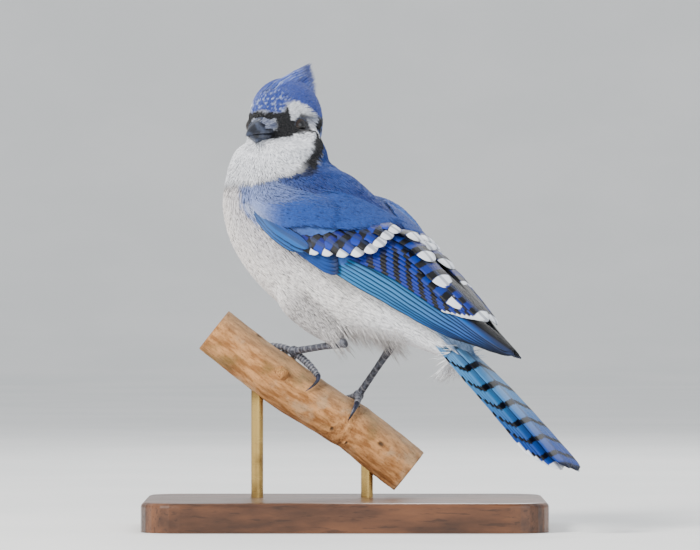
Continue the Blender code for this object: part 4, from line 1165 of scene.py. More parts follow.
def crest():
    """The crest: long barbs swept up and back from the crown."""
    count = 4200
    row = RANDOM.random(count) * (len(CREST_ROWS) - 1)
    share = RANDOM.uniform(-1, 1, count)
    root_f, root_u, tip_f, tip_u, spread = along(CREST_ROWS, row).T
    reach = (1 - 0.14 * np.abs(share)) * RANDOM.uniform(0.45, 1.03, count)
    start = root_f + RANDOM.normal(0, 1.2, count)
    root = np.stack([start, spread * share * 1.1, root_u - 2.0 * share ** 2 - 0.4], -1)
    tip = np.stack([
        root_f + (tip_f - root_f) * reach,
        spread * share * 0.85 * (1 - 0.25 * reach) + 3.2 * reach,
        root_u + (tip_u - root_u) * reach - 2.2 * share ** 2,
    ], -1)
    middle = (root + tip) / 2
    middle[:, 2] += 3.4 - 0.8 * row
    line = four_points(lambda t: root * (1 - t) ** 2 + middle * 2 * t * (1 - t) + tip * t * t)
    out = np.stack([0.25 - 0.2 * row, share * 1.2, np.ones(count)], -1)
    out = unit(out)[:, None].repeat(4, 1) @ HEAD.T
    line = head_to_bird(line)
    tone = np.clip(0.35 + 0.5 * uneven(line[:, 1], 4.0, 3.0) + RANDOM.normal(0, 0.12, count), 0, 1)
    colour = mix(paint(38, 66, 156), paint(96, 120, 194), tone)
    colour = mix(colour, CROWN_PALE, ease(-4, 2, root_f) * (RANDOM.random(count) < 0.25) * 0.6)
    width = RANDOM.uniform(0.28, 0.46, count) * MM
    flat = bake_spot(line[:, 0])
    barbs("crest", to_world(line), turn_to_world(out), width, colour, flat, FACE_DOWN, "crown_feathers")


def bristles():
    """Stiff feathers that lie forward over the root of the bill."""
    count = 1100
    side = np.where(RANDOM.random(count) < 0.5, -1, 1)
    angle = RANDOM.uniform(0.0, 1.5, count)
    back = RANDOM.uniform(0, 1, count)
    root = np.stack([10.6 + 3.4 * back, side * (5.7 - 1.5 * back) * np.sin(angle),
                     -2.2 + (4.9 - 1.0 * back) * np.cos(angle)], -1)
    reach = RANDOM.uniform(2.6, 4.4, count)

    def place(t):
        shrink = 1 - 0.20 * t
        return np.stack([
            root[:, 0] + reach * t,
            root[:, 1] * (shrink + 0.10),
            (root[:, 2] + 2.2) * (shrink + 0.08) - 2.2 - 0.5 * t,
        ], -1)

    out = unit(np.stack([np.zeros(count), side * np.sin(angle), np.cos(angle)], -1))
    out = out[:, None].repeat(4, 1) @ HEAD.T
    line = head_to_bird(four_points(place))
    tone = RANDOM.random(count) ** 1.3
    colour = mix(paint(70, 78, 104), paint(176, 184, 206), tone)
    barbs("bill_bristles", to_world(line), turn_to_world(out), np.full(count, 0.22 * MM), colour,
          bake_spot(line[:, 0]), FACE_DOWN, "crown_feathers")


# Feathers with a vane

def vanes(name, feathers, look, slot, lengthwise=VANE_STEPS, replaces=()):
    """Joined flight feathers, each a dict of its line, the ways out of it and across it, and its marks."""
    spots, faces = web_sheet(8, lengthwise)
    level = np.rint(spots[:, 1] * lengthwise).astype(int)
    x = spots[:, 0]
    made, webs, bakes, tints, marks, joined = [], [], [], [], [], []
    cells = math.ceil(math.sqrt(len(feathers)))
    for number, feather in enumerate(feathers):
        line, out, side = feather["line"][level], feather["out"][level], feather["side"][level]
        half = feather["half"][level]
        waves = np.sin(37.0 * spots[:, 1] + 5 * number) * np.sin(91 * spots[:, 1] + number)
        width = x * half * (1 + 0.035 * waves * np.abs(x) ** 3)
        quill = feather["quill"]
        bow = feather["bow"] * (1 - x ** 2) * half * 0.5
        ridge = 0.16 * np.exp(-((x - quill) / 0.07) ** 2) * (1 - 0.7 * spots[:, 1])
        depth = feather["thick"] * (1 - 0.5 * np.abs(x)) * (1 - 0.4 * spots[:, 1])
        lift = bow + np.where(spots[:, 2] == 0, ridge + depth / 2, -depth / 2)
        point = line + side * width[:, None] + out * lift[:, None]
        made.append(to_world(point))
        length = np.concatenate([[0], np.cumsum(np.linalg.norm(np.diff(feather["line"], axis=0), axis=1))])
        down = length[-1] - length[level]
        webs.append(np.stack([0.5 + (x - quill) * half * 0.02, length[level] * 0.02], -1))
        cell = np.array((number % cells, number // cells))
        bakes.append((cell + 0.04 + 0.92 * np.stack([(x + 1) / 2, spots[:, 1]], -1)) / cells)
        tint, mark = feather["paint"](feather["rank"], x, spots[:, 1], down)
        tints.append(tint)
        marks.append(mark)
        joined.append(faces + number * len(spots))
    piece = array_mesh(name, np.concatenate(made), np.concatenate(joined), look,
                       (("OFBake", np.concatenate(bakes)), ("Vane", np.concatenate(webs))),
                       (("Tint", np.concatenate(tints)), ("Marks", np.concatenate(marks))))
    settle(piece, slot, replaces)


def vane_half(t, width, round_tip):
    """Half the feather's width along it: it opens from the quill and closes at a rounded tip."""
    swell = np.where(t < 0.35, 0.42 + 1.66 * t, 1.0)
    end = np.clip((t - round_tip) / (1 - round_tip), 0, 1)
    return width / 2 * swell * np.sqrt(np.maximum(0.004, 1 - end ** 2))


def wing_feather(side, root, tip, width, lifts, tier):
    """A feather that lies on the folded wing from root to tip, each (along, across)."""
    t = (np.arange(VANE_STEPS + 1) / VANE_STEPS) ** 0.85
    share = root[0] + (tip[0] - root[0]) * t
    across = root[1] + (tip[1] - root[1]) * t
    share = share * (1 - WING_SETBACK[side] * share)
    lift = (lifts[0] + (lifts[1] - lifts[0]) * np.minimum(1, tier["ramp"] * t)) * VANE_LIFT[side]
    point, outward, rise, _ = wing_point(share, across, lift)
    point, outward, rise = (v * np.array((1, side, 1)) for v in (point, outward, rise))
    point = point - np.array((0, 0, WING_DROP[side]))
    run = unit(np.gradient(point, axis=0))
    cross = unit(rise - run * (rise * run).sum(1, keepdims=True))
    out = unit(outward - run * (outward * run).sum(1, keepdims=True))
    lean = math.radians(tier["lean"])
    return {
        "line": point,
        "out": out * math.cos(lean) + cross * math.sin(lean),
        "side": cross * math.cos(lean) - out * math.sin(lean),
        "half": vane_half(t, width, tier["round_tip"]),
        "thick": 0.30,
        "bow": 0.25,
        "quill": tier["quill"],
        "paint": tier["paint"],
    }


def marked(x, tint, white=0.0, bars=0.0, black=0.0, phase=0.5):
    """The colours and marks of a feather at its points, as the vane material reads them."""
    ones = np.ones_like(x)
    tint = np.broadcast_to(tint, (len(x), 3)) * TINT_DEPTH
    return tint, np.stack([ones * white, ones * bars, ones * black, ones * phase], -1)


# Each painter takes the feather's rank from 0 to 1 in its tier, the place across it from -1 to 1 and along it
# from 0 to 1, and the distance from its tip in millimetres

def paint_primary(rank, x, t, down):
    blue = mix(paint(40, 138, 206), paint(24, 96, 186), ease(0.30, 0.80, t))
    tint = mix(blue, paint(14, 40, 96), ease(-0.62, -0.1, x) * 0.85)
    tint = mix(tint, paint(8, 12, 34), ease(0.70, 0.95, t) * 0.85)
    return marked(x, tint, black=0.32 + 0.6 * ease(-0.45, 0.1, x) + 0.3 * ease(-0.90, -1.0, x))


def squares(down, x, white, period, shift=0.0):
    """Where a feather is in its row of bars, counted from its white tip: black lies near whole numbers."""
    return (down + 0.5 * np.abs(x) - white) / period - 0.25 + shift


def paint_secondary(rank, x, t, down):
    tint = mix(paint(10, 50, 160), paint(5, 22, 108), ease(-0.9, 0.2, x))
    white = np.clip(0.5 + (5.6 - down - 0.8 * np.abs(x)) * 0.35, 0, 1)
    black = 0.32 + 0.6 * ease(-0.30, 0.3, x)
    phase = squares(down, x, 5.6, 6.6, 0.5 * (round(rank * 8) % 2))
    return marked(x, tint, white, ease(0.2, 0.3, t), black * (down > 5), phase)


def paint_tertial(rank, x, t, down):
    tint = mix(paint(10, 56, 160), paint(5, 26, 116), ease(-0.6, 0.6, x))
    long = 7.4 - 2.0 * rank
    white = np.clip(0.5 + (long - down - 1.0 * np.abs(x) ** 2) * 0.30, 0, 1)
    return marked(x, tint, white, ease(0.16, 0.3, t), 0.0, squares(down, x, long, 7.0))


def paint_greater(rank, x, t, down):
    tint = mix(paint(8, 58, 178), paint(5, 26, 128), ease(-0.7, 0.4, x))
    white = np.clip(0.5 + (4.4 - down - 0.5 * np.abs(x) ** 3) * 0.40, 0, 1)
    phase = squares(down, x, 4.4, 7.4, 0.42 * (round(rank * 7) % 2))
    black = 0.32 + 0.5 * ease(0.6, 0.9, x) * (down > 4.6)
    return marked(x, tint, white, ease(0.10, 0.25, t), black, phase)


def paint_primary_covert(rank, x, t, down):
    tint = mix(paint(16, 74, 156), paint(12, 42, 112), ease(-0.4, 0.6, x))
    tint = mix(tint, paint(16, 30, 76), ease(0.80, 1.0, t) * 0.7)
    return marked(x, tint, black=0.30 + 0.4 * ease(0.7, 1.0, x))


def paint_alula(rank, x, t, down):
    tint = mix(paint(34, 106, 186), paint(20, 70, 146), ease(-0.5, 0.6, x))
    tint = mix(tint, paint(92, 124, 176), ease(0.5, 0.0, t) * 0.6)
    return marked(x, tint, black=0.28 + 0.4 * ease(0.85, 1.0, np.abs(x)))


# Tiers from the body outwards. Roots, widths and lifts go from the lowest feather to the highest, and each
# root and tip is (along, across). sunk is the lift at the roots, and ramp how soon that of the tips is reached
WING_TIERS = {
    "primaries": {
        "count": 9, "roots": ((0.22, 0.02), (0.28, 0.34)), "widths": (7.0, 7.6),
        "sunk": 0.2, "lifts": (-2.0, 0.9), "ramp": 2.0, "lean": 15,
        "round_tip": 0.80, "quill": -0.3, "paint": paint_primary, "look": VANE,
        "tips": ((0.87, -0.02), (0.90, 0.01), (0.93, 0.035), (0.95, 0.06), (0.97, 0.12), (0.985, 0.20),
                 (1.0, 0.29), (1.0, 0.36), (0.985, 0.42)),
    },
    "secondaries": {
        "count": 9, "roots": ((0.24, 0.26), (0.30, 0.66)), "widths": (7.2, 8.6),
        "sunk": 0.4, "lifts": (1.7, 3.0), "ramp": 2.0, "lean": 15,
        "round_tip": 0.88, "quill": -0.2, "paint": paint_secondary, "look": SQUARE_VANE,
        "tips": ((0.745, 0.32), (0.775, 0.38), (0.807, 0.44), (0.835, 0.54), (0.86, 0.65), (0.868, 0.74)),
    },
    "tertials": {
        "count": 4, "roots": ((0.38, 0.62), (0.44, 0.96)), "widths": (10.5, 10.0),
        "sunk": 0.2, "lifts": (3.4, 4.4), "ramp": 1.5, "lean": 12,
        "round_tip": 0.80, "quill": 0.0, "paint": paint_tertial, "look": SQUARE_VANE,
        "tips": ((0.775, 0.50), (0.647, 0.69), (0.54, 0.90)),
    },
    "primary_coverts": {
        "count": 5, "roots": ((0.10, 0.02), (0.14, 0.22)), "widths": (5.6, 5.6),
        "sunk": 1.0, "lifts": (1.4, 2.4), "ramp": 1.6, "lean": 12,
        "round_tip": 0.78, "quill": 0.0, "paint": paint_primary_covert, "look": VANE,
        "tips": ((0.348, -0.03), (0.346, 0.01), (0.343, 0.05), (0.338, 0.095), (0.333, 0.135)),
    },
    "greater_coverts": {
        "count": 8, "roots": ((0.12, 0.17), (0.36, 0.80)), "widths": (6.8, 7.6),
        "sunk": 0.2, "lifts": (4.2, 5.0), "ramp": 1.5, "lean": 11,
        "round_tip": 0.86, "quill": 0.0, "paint": paint_greater, "look": SQUARE_VANE,
        "tips": ((0.288, 0.12), (0.345, 0.185), (0.403, 0.26), (0.448, 0.39), (0.462, 0.57), (0.475, 0.78)),
    },
    "alula": {
        "count": 3, "roots": ((0.03, 0.04), (0.05, 0.22)), "widths": (5.0, 5.6),
        "sunk": 2.4, "lifts": (3.8, 5.0), "ramp": 2.0, "lean": 12,
        "round_tip": 0.74, "quill": 0.0, "paint": paint_alula, "look": VANE,
        "tips": ((0.215, -0.02), (0.243, 0.03), (0.253, 0.09)),
    },
}


def between(ends, t):
    return ends[0] + (ends[1] - ends[0]) * t


def wing(name, side):
    """One folded wing, tier by tier."""
    for title, tier in WING_TIERS.items():
        places = np.linspace(0, len(tier["tips"]) - 1, tier["count"])
        feathers = []
        for i, tip in enumerate(along(tier["tips"], places)):
            t = i / (tier["count"] - 1)
            root = [between(ends, t) for ends in zip(*tier["roots"])]
            lifts = (tier["sunk"], between(tier["lifts"], t))
            feather = wing_feather(side, root, tip, between(tier["widths"], t), lifts, tier)
            feathers.append({**feather, "rank": t})
        replaced = (f"wing_{name}",) if title == "primaries" else ()
        vanes(f"{title}_{name}", feathers, tier["look"], "wing_feathers", replaces=replaced)


# Tail feathers from the middle pair to the outer pair: reach, offset at the tip, width, level below the first
TAIL_FEATHERS = (
    (1.000, 3.4, 14.0, 0.0),
    (0.992, 6.4, 12.6, 1.75),
    (0.978, 7.0, 12.4, 2.45),
    (0.960, 7.6, 12.2, 3.15),
    (0.935, 8.2, 12.0, 3.85),
    (0.900, 8.8, 11.6, 4.55),
)


def tail_frame():
    root, tip = np.array((TAIL_ROOT[0], 0, TAIL_ROOT[1])), np.array((TAIL_TIP[0], 0, TAIL_TIP[1]))
    run = unit(tip - root)
    left = np.array(Matrix.Rotation(-TAIL_ROLL, 3, Vector(run)) @ Vector((0, 1, 0)))
    up = unit(np.cross(left, run))
    up = up if up[2] > 0 else -up
    return root, run, left, up, np.linalg.norm(tip - root)


def paint_tail(pair, x, t, down):
    blue = mix(SKY, paint(140, 188, 228), ease(0.5, 0.1, t))
    tint = mix(blue, paint(20, 74, 176), ease(0.50, 0.95, t))
    # Painted highlight: a pale stripe down the middle of each tail feather, fading toward its tip.
    tint = mix(tint, paint(196, 220, 236), ease(0.32, 0.12, np.abs(x)) * ease(0.9, 0.5, t) * 0.35)
    if pair == 0:
        white, black = 0.0, np.clip(0.5 + (3.0 - down) * 0.2, 0, 0.62)
    else:
        white = np.clip(0.5 + ((3.0 + 1.6 * pair) - down - 1.5 * np.abs(x)) * 0.3, 0, 1)
        black = np.where(x > 0.25, 0.42, 0.0)
    phase = (down + 1.8 * np.abs(x) - 4.5) / (8.6 + 0.03 * down) + 0.5
    return marked(x, tint, white, ease(0.20, 0.34, t), black * ease(0.2, 0.5, t), phase)


def tail():
    root, run, left, up, length = tail_frame()
    t = np.arange(TAIL_STEPS + 1) / TAIL_STEPS
    ones = np.ones((len(t), 1))
    feathers = []
    for pair, (reach, offset, width, level) in enumerate(TAIL_FEATHERS):
        for side in (1, -1):
            drop = level + (0.85 if pair == 0 and side < 0 else 0.0)
            sideways = left * (side * offset * (0.35 + 0.65 * t))[:, None]
            rise = TAIL_ARCH * np.sin(math.pi * t) - drop * np.minimum(1, 0.3 + 2.2 * t)
            lean = 0.0 if pair == 0 else TAIL_LEAN
            end = np.clip((t - 0.93) / 0.07, 0, 1)
            half = width / 2 * np.minimum(1, 0.4 + 1.2 * t) * np.sqrt(np.maximum(0.01, 1 - end ** 2.2))
            feathers.append({
                "line": root + run * (length * reach * t)[:, None] + sideways + up * rise[:, None],
                "out": ones * (up * math.cos(lean) + left * side * math.sin(lean)),
                "side": ones * (left * side * math.cos(lean) - up * math.sin(lean)),
                "half": half,
                "thick": 0.32,
                "bow": 0.16,
                "quill": 0.0 if pair == 0 else 0.2,
                "paint": paint_tail,
                "rank": pair,
            })
    vanes("tail_feathers", feathers, TAIL_VANE, "tail_feathers", lengthwise=TAIL_STEPS, replaces=("tail",))


# Coverts of the tail: side, first and last root down the tail, height of the roots by place, how far all of
# them stand off, and two colours
TAIL_COVERTS = (
    (1, (-12, 14), ((-6, 7.5), (10, 5.0), (26, 3.2)), 0.6, (paint(120, 150, 206), paint(164, 182, 222))),
    (-1, (-10, 14), ((-10, 8.4), (4, 5.4), (14, 3.4)), -1.2, (paint(216, 220, 226), paint(240, 242, 244))),
)


def tail_coverts():
    """Soft, long feathers above and below the root of the tail."""
    root, run, left, up, _ = tail_frame()
    count = 1500
    lines, outs, colours = [], [], []
    for top, (first, last), heights, stand_off, (dark, light) in TAIL_COVERTS:
        start = RANDOM.uniform(first, last, count)
        spread = RANDOM.uniform(-1, 1, count)
        wide = np.interp(start, (-4, 12, 26), (11.0, 9.0, 7.0))
        reach = RANDOM.uniform(9, 14, count)
        high = top * read_table(heights, start) * np.sqrt(np.maximum(0.05, 1 - 0.8 * spread ** 2))

        def place(t):
            across = spread * wide * (1 - 0.35 * t)
            rise = high * (1 - 0.55 * t) + stand_off
            down = run * (start + reach * t)[:, None]
            return root + down + left * across[:, None] + up * rise[:, None]

        out = unit(left * (spread * 0.8)[:, None] + up * top)
        lines.append(four_points(place))
        outs.append(out[:, None].repeat(4, 1))
        colours.append(mix(dark, light, RANDOM.random(count)))
    line, out, colour = np.concatenate(lines), np.concatenate(outs), np.concatenate(colours)
    width = RANDOM.uniform(0.5, 0.8, len(line)) * MM
    flat = bake_spot(line[:, 0])
    barbs("tail_coverts", to_world(line), turn_to_world(out), width, colour, flat, DOWN, "rump_feathers")


# Where the soft plumage of the shoulder ends: across the wing, and along it
SOFT_EDGE = (
    (0.0, 0.06), (0.07, 0.09), (0.23, 0.19), (0.34, 0.235), (0.515, 0.36), (0.80, 0.43), (1.15, 0.47),
)


def scapulars(name, side):
    """Soft feathers of the shoulder, laid over the roots of the coverts."""
    count = 4200
    across = RANDOM.uniform(0.02, 1.10, count)
    edge = read_table(SOFT_EDGE, across) + RANDOM.normal(0, 0.008, count)
    reach = RANDOM.uniform(0.05, 0.085, count)
    share = np.maximum(0.01, edge - reach - RANDOM.random(count) ** 1.4 * 0.16)
    line, out = np.empty((count, 4, 3)), np.empty((count, 4, 3))
    for k, rise in enumerate((-0.9, 0.1, 0.3, 0.3)):
        here = share + reach * k / 3
        high = arm_height(here, np.clip(across, 0.1, 0.9))
        high = np.maximum(high, np.interp(here, (0.1, 0.3, 0.45), (3.0, 4.6, 4.4))) * SOFT_LIFT[side]
        point, away, _, _ = wing_point(here, across, high - 0.6 + rise)
        line[:, k] = point * np.array((1, side, 1)) - np.array((0, 0, WING_DROP[side]))
        out[:, k] = away * np.array((1, side, 1))
    colour = markings(line[:, 1]) * RANDOM.uniform(0.85, 1.1, count)[:, None]
    shade = mix(MANTLE_BLUE, paint(52, 84, 152), RANDOM.random(count) * ease(0.5, 0.0, across))
    colour = mix(colour, shade, ease(0.02, 0.14, share))
    width = RANDOM.uniform(0.30, 0.46, count) * MM
    flat = bake_spot(line[:, 0])
    barbs(f"scapulars_{name}", to_world(line), turn_to_world(out), width, colour, flat, DOWN, "body_feathers")


def plumes_density(points):
    """How many plumes hang from a square millimetre: none away from the tops of the legs."""
    x, _, z = (to_world(points) / MM).T
    return np.where((x > -8) & (x < 22) & (z < 84) & (z > 66), 0.7, 0.0)


def plumes(piece):
    """Loose feathers that hang from the flanks round the tops of the legs."""
    points, outs = scatter(piece, plumes_density)
    pick = (outs[:, 2] < 0.1) & (eye_gap(points) > 20)
    points, outs = points[pick], outs[pick].astype(float)
    count = len(points)
    reach = RANDOM.uniform(2.5, 7.0, count) * MM
    way = unit(np.array((0.75, 0, -0.8)) + outs * 0.25 + RANDOM.normal(0, 0.16, (count, 3)))
    start, sag = to_world(points), np.array((0.3, 0, -0.5))

    def place(t):
        hang = sag * (reach * t * t)[:, None]
        return start + way * (reach * t)[:, None] + hang - outs * (0.3 * MM * (1 - t))

    line, out = four_points(place), outs[:, None].repeat(4, 1)
    colour = mix(BELLY_WHITE, paint(206, 202, 200), RANDOM.random(count))
    width = RANDOM.uniform(0.14, 0.24, count) * MM
    barbs("flank_plumes", line, out, width, colour, bake_spot(points), DOWN, "body_feathers")


# Bill, eyes and legs

def bill(name, table, upper):
    """Half of the bill: rounded outside, flat along the mouth, with a ridge down its middle."""
    rows, columns = 44, 40

    def place(turn, row):
        t = (row / rows) ** 0.9
        forward, half, high, low = along(table, t * (len(table) - 1)).T
        arc = turn < 0.6
        angle = np.where(arc, turn / 0.6 * math.pi, 0)
        back = np.where(arc, 0, (turn - 0.6) / 0.4)
        left = np.where(arc, half * np.cos(angle) * (1 - 0.12 * np.sin(angle)), -half + 2 * half * back)
        bulge = np.sin(angle) ** (0.86 if upper else 0.8)
        if upper:
            up = np.where(arc, low + (high - low) * bulge, low + 0.35 * np.sin(math.pi * back))
        else:
            up = np.where(arc, high - (high - low) * bulge, high - 0.35 * np.sin(math.pi * back))
        edge = 0.12 * np.sin(math.pi * np.clip(turn / 0.6, 0, 1)) ** 6 * (1 - t)
        return head_to_world(np.stack([forward, left, up + (edge if upper else -edge)], -1))

    piece = new_piece(name + "_horn", wrapped(columns, rows, place), [BILL])
    settle(piece, "horn", (name,))


def eye(name, side):
    """The eyeball with its clear front, and the rim of the lids round it."""
    look = Vector(unit(np.array((0.34, side * 0.94, 0.04))))
    centre = np.array((EYE_PLACE[0], EYE_PLACE[1] * side, EYE_PLACE[2]))
    shape = bmesh.new()
    bmesh.ops.create_uvsphere(shape, u_segments=48, v_segments=32, radius=EYE_RADIUS)
    gaze = shape.verts.layers.float.new("Gaze")
    turn = Vector((0, 0, 1)).rotation_difference(look)
    for vert in shape.verts:
        angle = math.degrees(vert.co.angle(Vector((0, 0, 1))))
        vert[gaze] = angle
        spot = turn @ (vert.co * (1 + 0.03 * max(0.0, 1 - angle / 40)))
        vert.co = Vector(head_to_world(centre + np.array(spot)))
    bmesh.ops.recalc_face_normals(shape, faces=shape.faces)
    settle(new_piece(f"eyeball_{name}", shape, [EYE]), "eye", (f"eye_{name}",))

    out = np.array(look)
    across = unit(np.cross((0, 0, 1), out))
    rise = np.cross(out, across)
    rows, columns = 72, 14

    def place(turned, row):
        a, b = 2 * math.pi * row / rows, 2 * math.pi * turned
        ring = across * np.cos(a)[:, None] * 1.05 + rise * np.sin(a)[:, None] * 0.92
        fold = LID_THICK * (1 + 0.12 * np.sin(23 * a) * np.cos(b))
        reach = LID_RING + fold * np.cos(b) + 0.35 * np.maximum(0, np.cos(a)) ** 4
        point = centre + out * 2.25 + ring * reach[:, None] + out * (fold * 0.85 * np.sin(b))[:, None]
        return head_to_world(point)

    settle(new_piece(f"lids_{name}", wrapped(columns, rows, place), [LID]), "eye")


def branch_axis(share):
    x, height = along(BRANCH_LINE, np.asarray(share) * (len(BRANCH_LINE) - 1)).T
    return np.stack([x, np.full_like(x, BRANCH_Y), height + BASE_TALL], -1) * MM


def branch_frame(share):
    share = np.asarray(share, float)
    run = unit(branch_axis(np.minimum(share + 0.02, 1)) - branch_axis(np.maximum(share - 0.02, 0)))
    side = np.broadcast_to(np.array((0, -1.0, 0)), run.shape)
    top = unit(np.cross(side, run))
    return run, side, top * np.where(top[..., 2:] < 0, -1, 1)


BRANCH_LONG = float(np.linalg.norm(np.diff(branch_axis(np.linspace(0, 1, 41)), axis=0), axis=1).sum()) / MM


def share_at(x):
    shares = np.linspace(0, 1, 2001)
    return float(np.interp(x * MM, branch_axis(shares)[:, 0], shares))


def bark_radius(share):
    """The branch's radius: it swells a little at the twig and near its lower end."""
    at_twig = 0.5 * np.exp(-((share - TWIG_SHARE) / 0.07) ** 2)
    return BRANCH_RADIUS + at_twig + 0.35 * np.exp(-((share - 0.88) / 0.08) ** 2)


def on_branch(share, distance, angle, height):
    """A point above the bark, some millimetres down from a share of the branch and an angle round it."""
    place = np.atleast_1d(np.asarray(share + np.asarray(distance) / BRANCH_LONG, float))
    _, side, top = branch_frame(place)
    angle = np.atleast_1d(angle)
    out = top * np.cos(angle)[:, None] + side * np.sin(angle)[:, None]
    spot = branch_axis(place) + out * ((bark_radius(place) + height) * MM)[:, None]
    return spot[0] if spot.shape[0] == 1 else spot


def foot(name, grip):
    """Four scaly toes and their claws, which hold the branch."""
    hub = on_branch(grip, 0, math.radians(4), HUB_RADIUS + 0.3)
    toes = []
    for toe, (drift, degrees, radius) in TOES.items():
        bend = 1.0
        if toe == "hind":
            drift, degrees = HIND_TOES[name]
            bend = 1.8
        points, radii = [], []
        for k in range(6):
            t = k / 5
            angle = math.radians(4 + (degrees - 4) * t ** bend)
            points.append(on_branch(grip, drift * t ** 0.9, angle, radius + 0.42 + 0.5 * (1 - t)))
            radii.append(radius * (1.02 - 0.2 * t) + 0.08 * math.cos(6 * math.pi * t))
        radii[-1] *= 0.9

        def relief(angle, t):
            scale = np.abs(((t * 11) % 1.0) - 0.5) * 2
            return 0.10 * (1 - scale ** 3) + 0.10 * np.cos(6 * math.pi * t) ** 2 - 0.05

        def seam(turn, row):
            scale = np.abs(((row / 44 * 11) % 1.0) - 0.5) * 2
            return ease(0.72, 1.0, scale)

        toes.append(tube(points, radii, 18, 44, relief, (("Seam", seam),)))
        run = unit(points[-1] - points[-2])
        start = points[-1] + run * 0.5 * MM
        turn, slide = CLAW_ANGLES[toe], CLAW_DRIFT[toe]
        tip = on_branch(grip, drift + slide, math.radians(degrees + turn), 0.55)
        crown = on_branch(grip, drift + 0.4 * slide, math.radians(degrees + 0.55 * turn), 3.4)
        crown = crown * 0.3 + (start + run * 3.6 * MM) * 0.7
        curve = [start * (1 - t) ** 2 + crown * 2 * t * (1 - t) + tip * t * t for t in np.linspace(0, 1, 9)]
        curve = [points[-1] - run * 0.2 * MM] + curve
        thin = [radius * 0.70] + [radius * 0.76 * (1 - k / 8) ** 0.75 + 0.07 for k in range(9)]
        piece = new_piece(f"claw_{name}_{toe}_horn", tube(curve, thin, 18, 36, flat=0.82), [CLAW])
        settle(piece, "horn", (f"claw_{name}_{toe}",))
    ball = bmesh.new()
    bmesh.ops.create_icosphere(ball, subdivisions=4, radius=HUB_RADIUS * 0.98 * MM)
    for vert in ball.verts:
        vert.co *= 1 + 0.03 * noise.noise(vert.co * 2200)
    bmesh.ops.translate(ball, verts=ball.verts, vec=Vector(hub))
    settle(new_piece(f"toes_{name}", merged([ball, *toes]), [SCALES]), "leg_scales", (f"foot_{name}",))
    return hub


def leg(name, grip):
    """The bare shank, with plates down its front."""
    hub = foot(name, grip)
    heel = to_world(np.array(HEELS[name]))
    path = [heel + (hub - heel) * t for t in (-0.10, 0.06, 0.3, 0.6, 0.9, 1.0)]
    radii = (1.9, 1.8, SHANK_RADIUS, SHANK_RADIUS * 0.95, SHANK_RADIUS * 1.05, SHANK_RADIUS * 1.15)

    def relief(angle, t):
        scale = np.abs(((t * 12 + 0.12 * np.sin(angle)) % 1.0) - 0.5) * 2
        return 0.10 * (1 - scale ** 4) - 0.04

    def seam(turn, row):
        scale = np.abs(((row / 96 * 12 + 0.12 * np.sin(2 * math.pi * turn)) % 1.0) - 0.5) * 2
        return ease(0.74, 1.0, scale)

    shape = tube(path, radii, 26, 96, relief, (("Seam", seam),), flat=0.92)
    settle(new_piece(f"shank_{name}_plates", shape, [SCALES]), "leg_scales", (f"shank_{name}",))


# Scars of the bark: share down the branch, degrees round it, size
SCARS = (
    (0.27, 74, 2.6), (0.42, -40, 1.6), (0.52, 118, 1.8), (0.66, 30, 1.4),
    (0.74, 130, 1.5), (0.15, 20, 1.7), (0.60, -70, 1.5), (0.85, 80, 1.7),
)


def perch():
    """The branch: uneven bark with lengthwise ridges, a cut side twig, small scars and two sawn ends."""
    columns, rows, cap = 132, 420, 12

    def spread(row):
        share = np.clip((row - cap) / (rows - 2 * cap), 0, 1)
        inner = np.where(row < cap, row / cap, np.where(row > rows - cap, (rows - row) / cap, 1.0))
        return share, inner

    def scar_depth(angle, share):
        depth = np.zeros_like(share)
        for where, degrees, size in SCARS:
            turned = (angle - math.radians(degrees) + math.pi) % (2 * math.pi) - math.pi
            gap = np.hypot(turned * BRANCH_RADIUS, (share - where) * BRANCH_LONG) / size
            depth += np.exp(-gap ** 2 * 0.8)
        return depth

    def place(turn, row):
        share, inner = spread(row)
        angle = 2 * math.pi * turn
        run, side, top = branch_frame(share)
        out = top * np.cos(angle)[:, None] + side * np.sin(angle)[:, None]
        bumps = np.array([
            0.45 * noise.noise(Vector((math.cos(a) * 1.6, math.sin(a) * 1.6, s * 7)))
            + 0.22 * noise.noise(Vector((math.cos(a) * 5, math.sin(a) * 5, s * 16)))
            + 0.09 * noise.noise(Vector((math.cos(a) * 14, math.sin(a) * 14, s * 60)))
            for a, s in zip(angle, share)
        ])
        rim = np.where(inner >= 1, ease(0, 0.006, np.minimum(share, 1 - share)) * 0.35 - 0.35, 0)
        radius = bark_radius(share) + bumps - 0.15 + rim
        scar = scar_depth(angle, share)
        radius = radius + 0.55 * scar * (1 - 0.9 * ease(0.7, 1.0, scar))
        rough = 0.06 * np.sin(60 * inner) * (inner < 1)
        return branch_axis(share) + out * (radius * inner * MM)[:, None] + run * (rough * MM)[:, None] * 0.3

    def top_mark(turn, row):
        return ease(0.1, 0.95, np.cos(2 * math.pi * turn)) * (spread(row)[1] >= 1)

    def scar_mark(turn, row):
        share, inner = spread(row)
        return ease(0.55, 0.95, scar_depth(2 * math.pi * turn, share)) * (inner >= 1)

    def reach_mark(turn, row):
        return spread(row)[1] * BRANCH_RADIUS

    marks = (("Top", top_mark), ("Scar", scar_mark), ("Reach", reach_mark))
    shape = wrapped(columns, rows, place, marks, size=(1.0, BRANCH_LONG / 60))
    reach = shape.verts.layers.float["Reach"]
    for face in shape.faces:
        face.material_index = 1 if min(vert[reach] for vert in face.verts) < BRANCH_RADIUS - 0.9 else 0
    settle(new_piece("branch_bark", shape, [BARK, CUT]), "bark", ("perch_branch",))
    cut_twig()


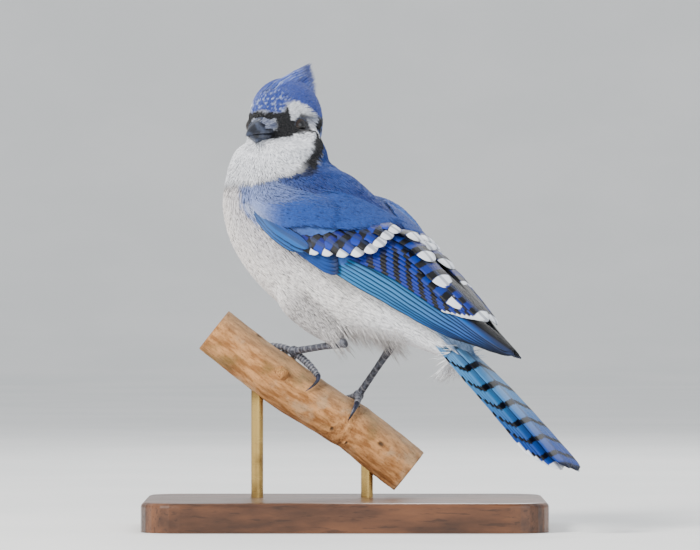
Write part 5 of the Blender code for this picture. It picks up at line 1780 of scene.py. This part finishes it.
def cut_twig():
    """The stub of a side twig."""
    def unmarked(turn, row):
        return turn * 0

    def ripple(angle, t):
        return 0.16 * np.sin(5 * angle + 9 * t)

    stub = [
        on_branch(TWIG_SHARE, 0.9 * k - 0.5, math.radians(72 + 0.8 * k), -2.4 + 1.2 * k) for k in range(4)
    ]
    marks = [(name, unmarked) for name in ("Top", "Scar", "Reach")]
    twig = tube(stub, (3.0, 2.7, 2.3, 2.0), 30, 16, ripple, marks)
    settle(new_piece("cut_twig", twig, [BARK]), "bark")


def pale_floor():
    """A floor that bends up into a wall far behind."""
    shape = bmesh.new()
    bmesh.ops.create_grid(shape, x_segments=2, y_segments=60, size=1.0)
    for vert in shape.verts:
        run = (vert.co.y + 1) / 2 * FLOOR_LONG + FLOOR_START
        past = max(0.0, run - FLOOR_BACK)
        turn = min(past / FLOOR_BEND, math.pi / 2)
        y = min(run, FLOOR_BACK) + FLOOR_BEND * math.sin(turn)
        z = FLOOR_BEND * (1 - math.cos(turn)) + max(0.0, past - FLOOR_BEND * math.pi / 2)
        vert.co = Vector((vert.co.x * 6.0, y, z - 0.0001))
    new_piece("floor", shape, [FLOOR])


def studio():
    """A pale floor, soft light from the left, and the camera."""
    pale_floor()
    for name, place, size, power, tone in (
        ("key", (-0.85, -0.75, 0.95), 0.5, 30.0, (1.0, 0.97, 0.93)),
        ("fill", (0.95, -1.2, 0.45), 1.2, 7.0, (0.92, 0.96, 1.0)),
        ("rim", (0.25, 1.0, 0.9), 0.7, 8.0, (1.0, 1.0, 1.0)),
    ):
        lamp = bpy.data.lights.new(name, "AREA")
        lamp.shape, lamp.size, lamp.energy, lamp.color = "DISK", size, power, tone
        light = show(name, lamp)
        light.location = place
        light.rotation_euler = (Vector((0, 0.01, 0.10)) - Vector(place)).to_track_quat("-Z", "Y").to_euler()
    world = bpy.data.worlds.new("studio")
    world.use_nodes = True
    world.node_tree.nodes["Background"].inputs[0].default_value = (0.92, 0.95, 1.0, 1.0)
    world.node_tree.nodes["Background"].inputs[1].default_value = 0.95
    bpy.context.scene.world = world
    camera = bpy.data.cameras.new("camera")
    camera.sensor_width = 36.0
    camera.lens = camera.sensor_width * CAMERA_FAR / PICTURE_WIDE
    camera.clip_start, camera.clip_end = 0.1, 50.0
    holder = show("camera", camera)
    holder.location = (PICTURE_MIDDLE[0], BRANCH_Y * MM - CAMERA_FAR, PICTURE_MIDDLE[1])
    holder.rotation_euler = (math.pi / 2, 0, 0)
    bpy.context.scene.camera = holder


def stand():
    for node, look in (("stand_base", WOOD), ("stand_rod_1", BRASS), ("stand_rod_2", BRASS)):
        for slot in NODES[node].material_slots:
            slot.material = look


def build():
    jay = skin()
    coat(jay)
    crest()
    bristles()
    for name, side in (("left", 1), ("right", -1)):
        wing(name, side)
        eye(name, side)
        leg(name, share_at(FOOT_GRIPS[name]))
        scapulars(name, side)
    tail()
    tail_coverts()
    plumes(jay)
    bill("bill_upper", UPPER_BILL, True)
    bill("bill_lower", LOWER_BILL, False)
    perch()
    stand()
    studio()


build()
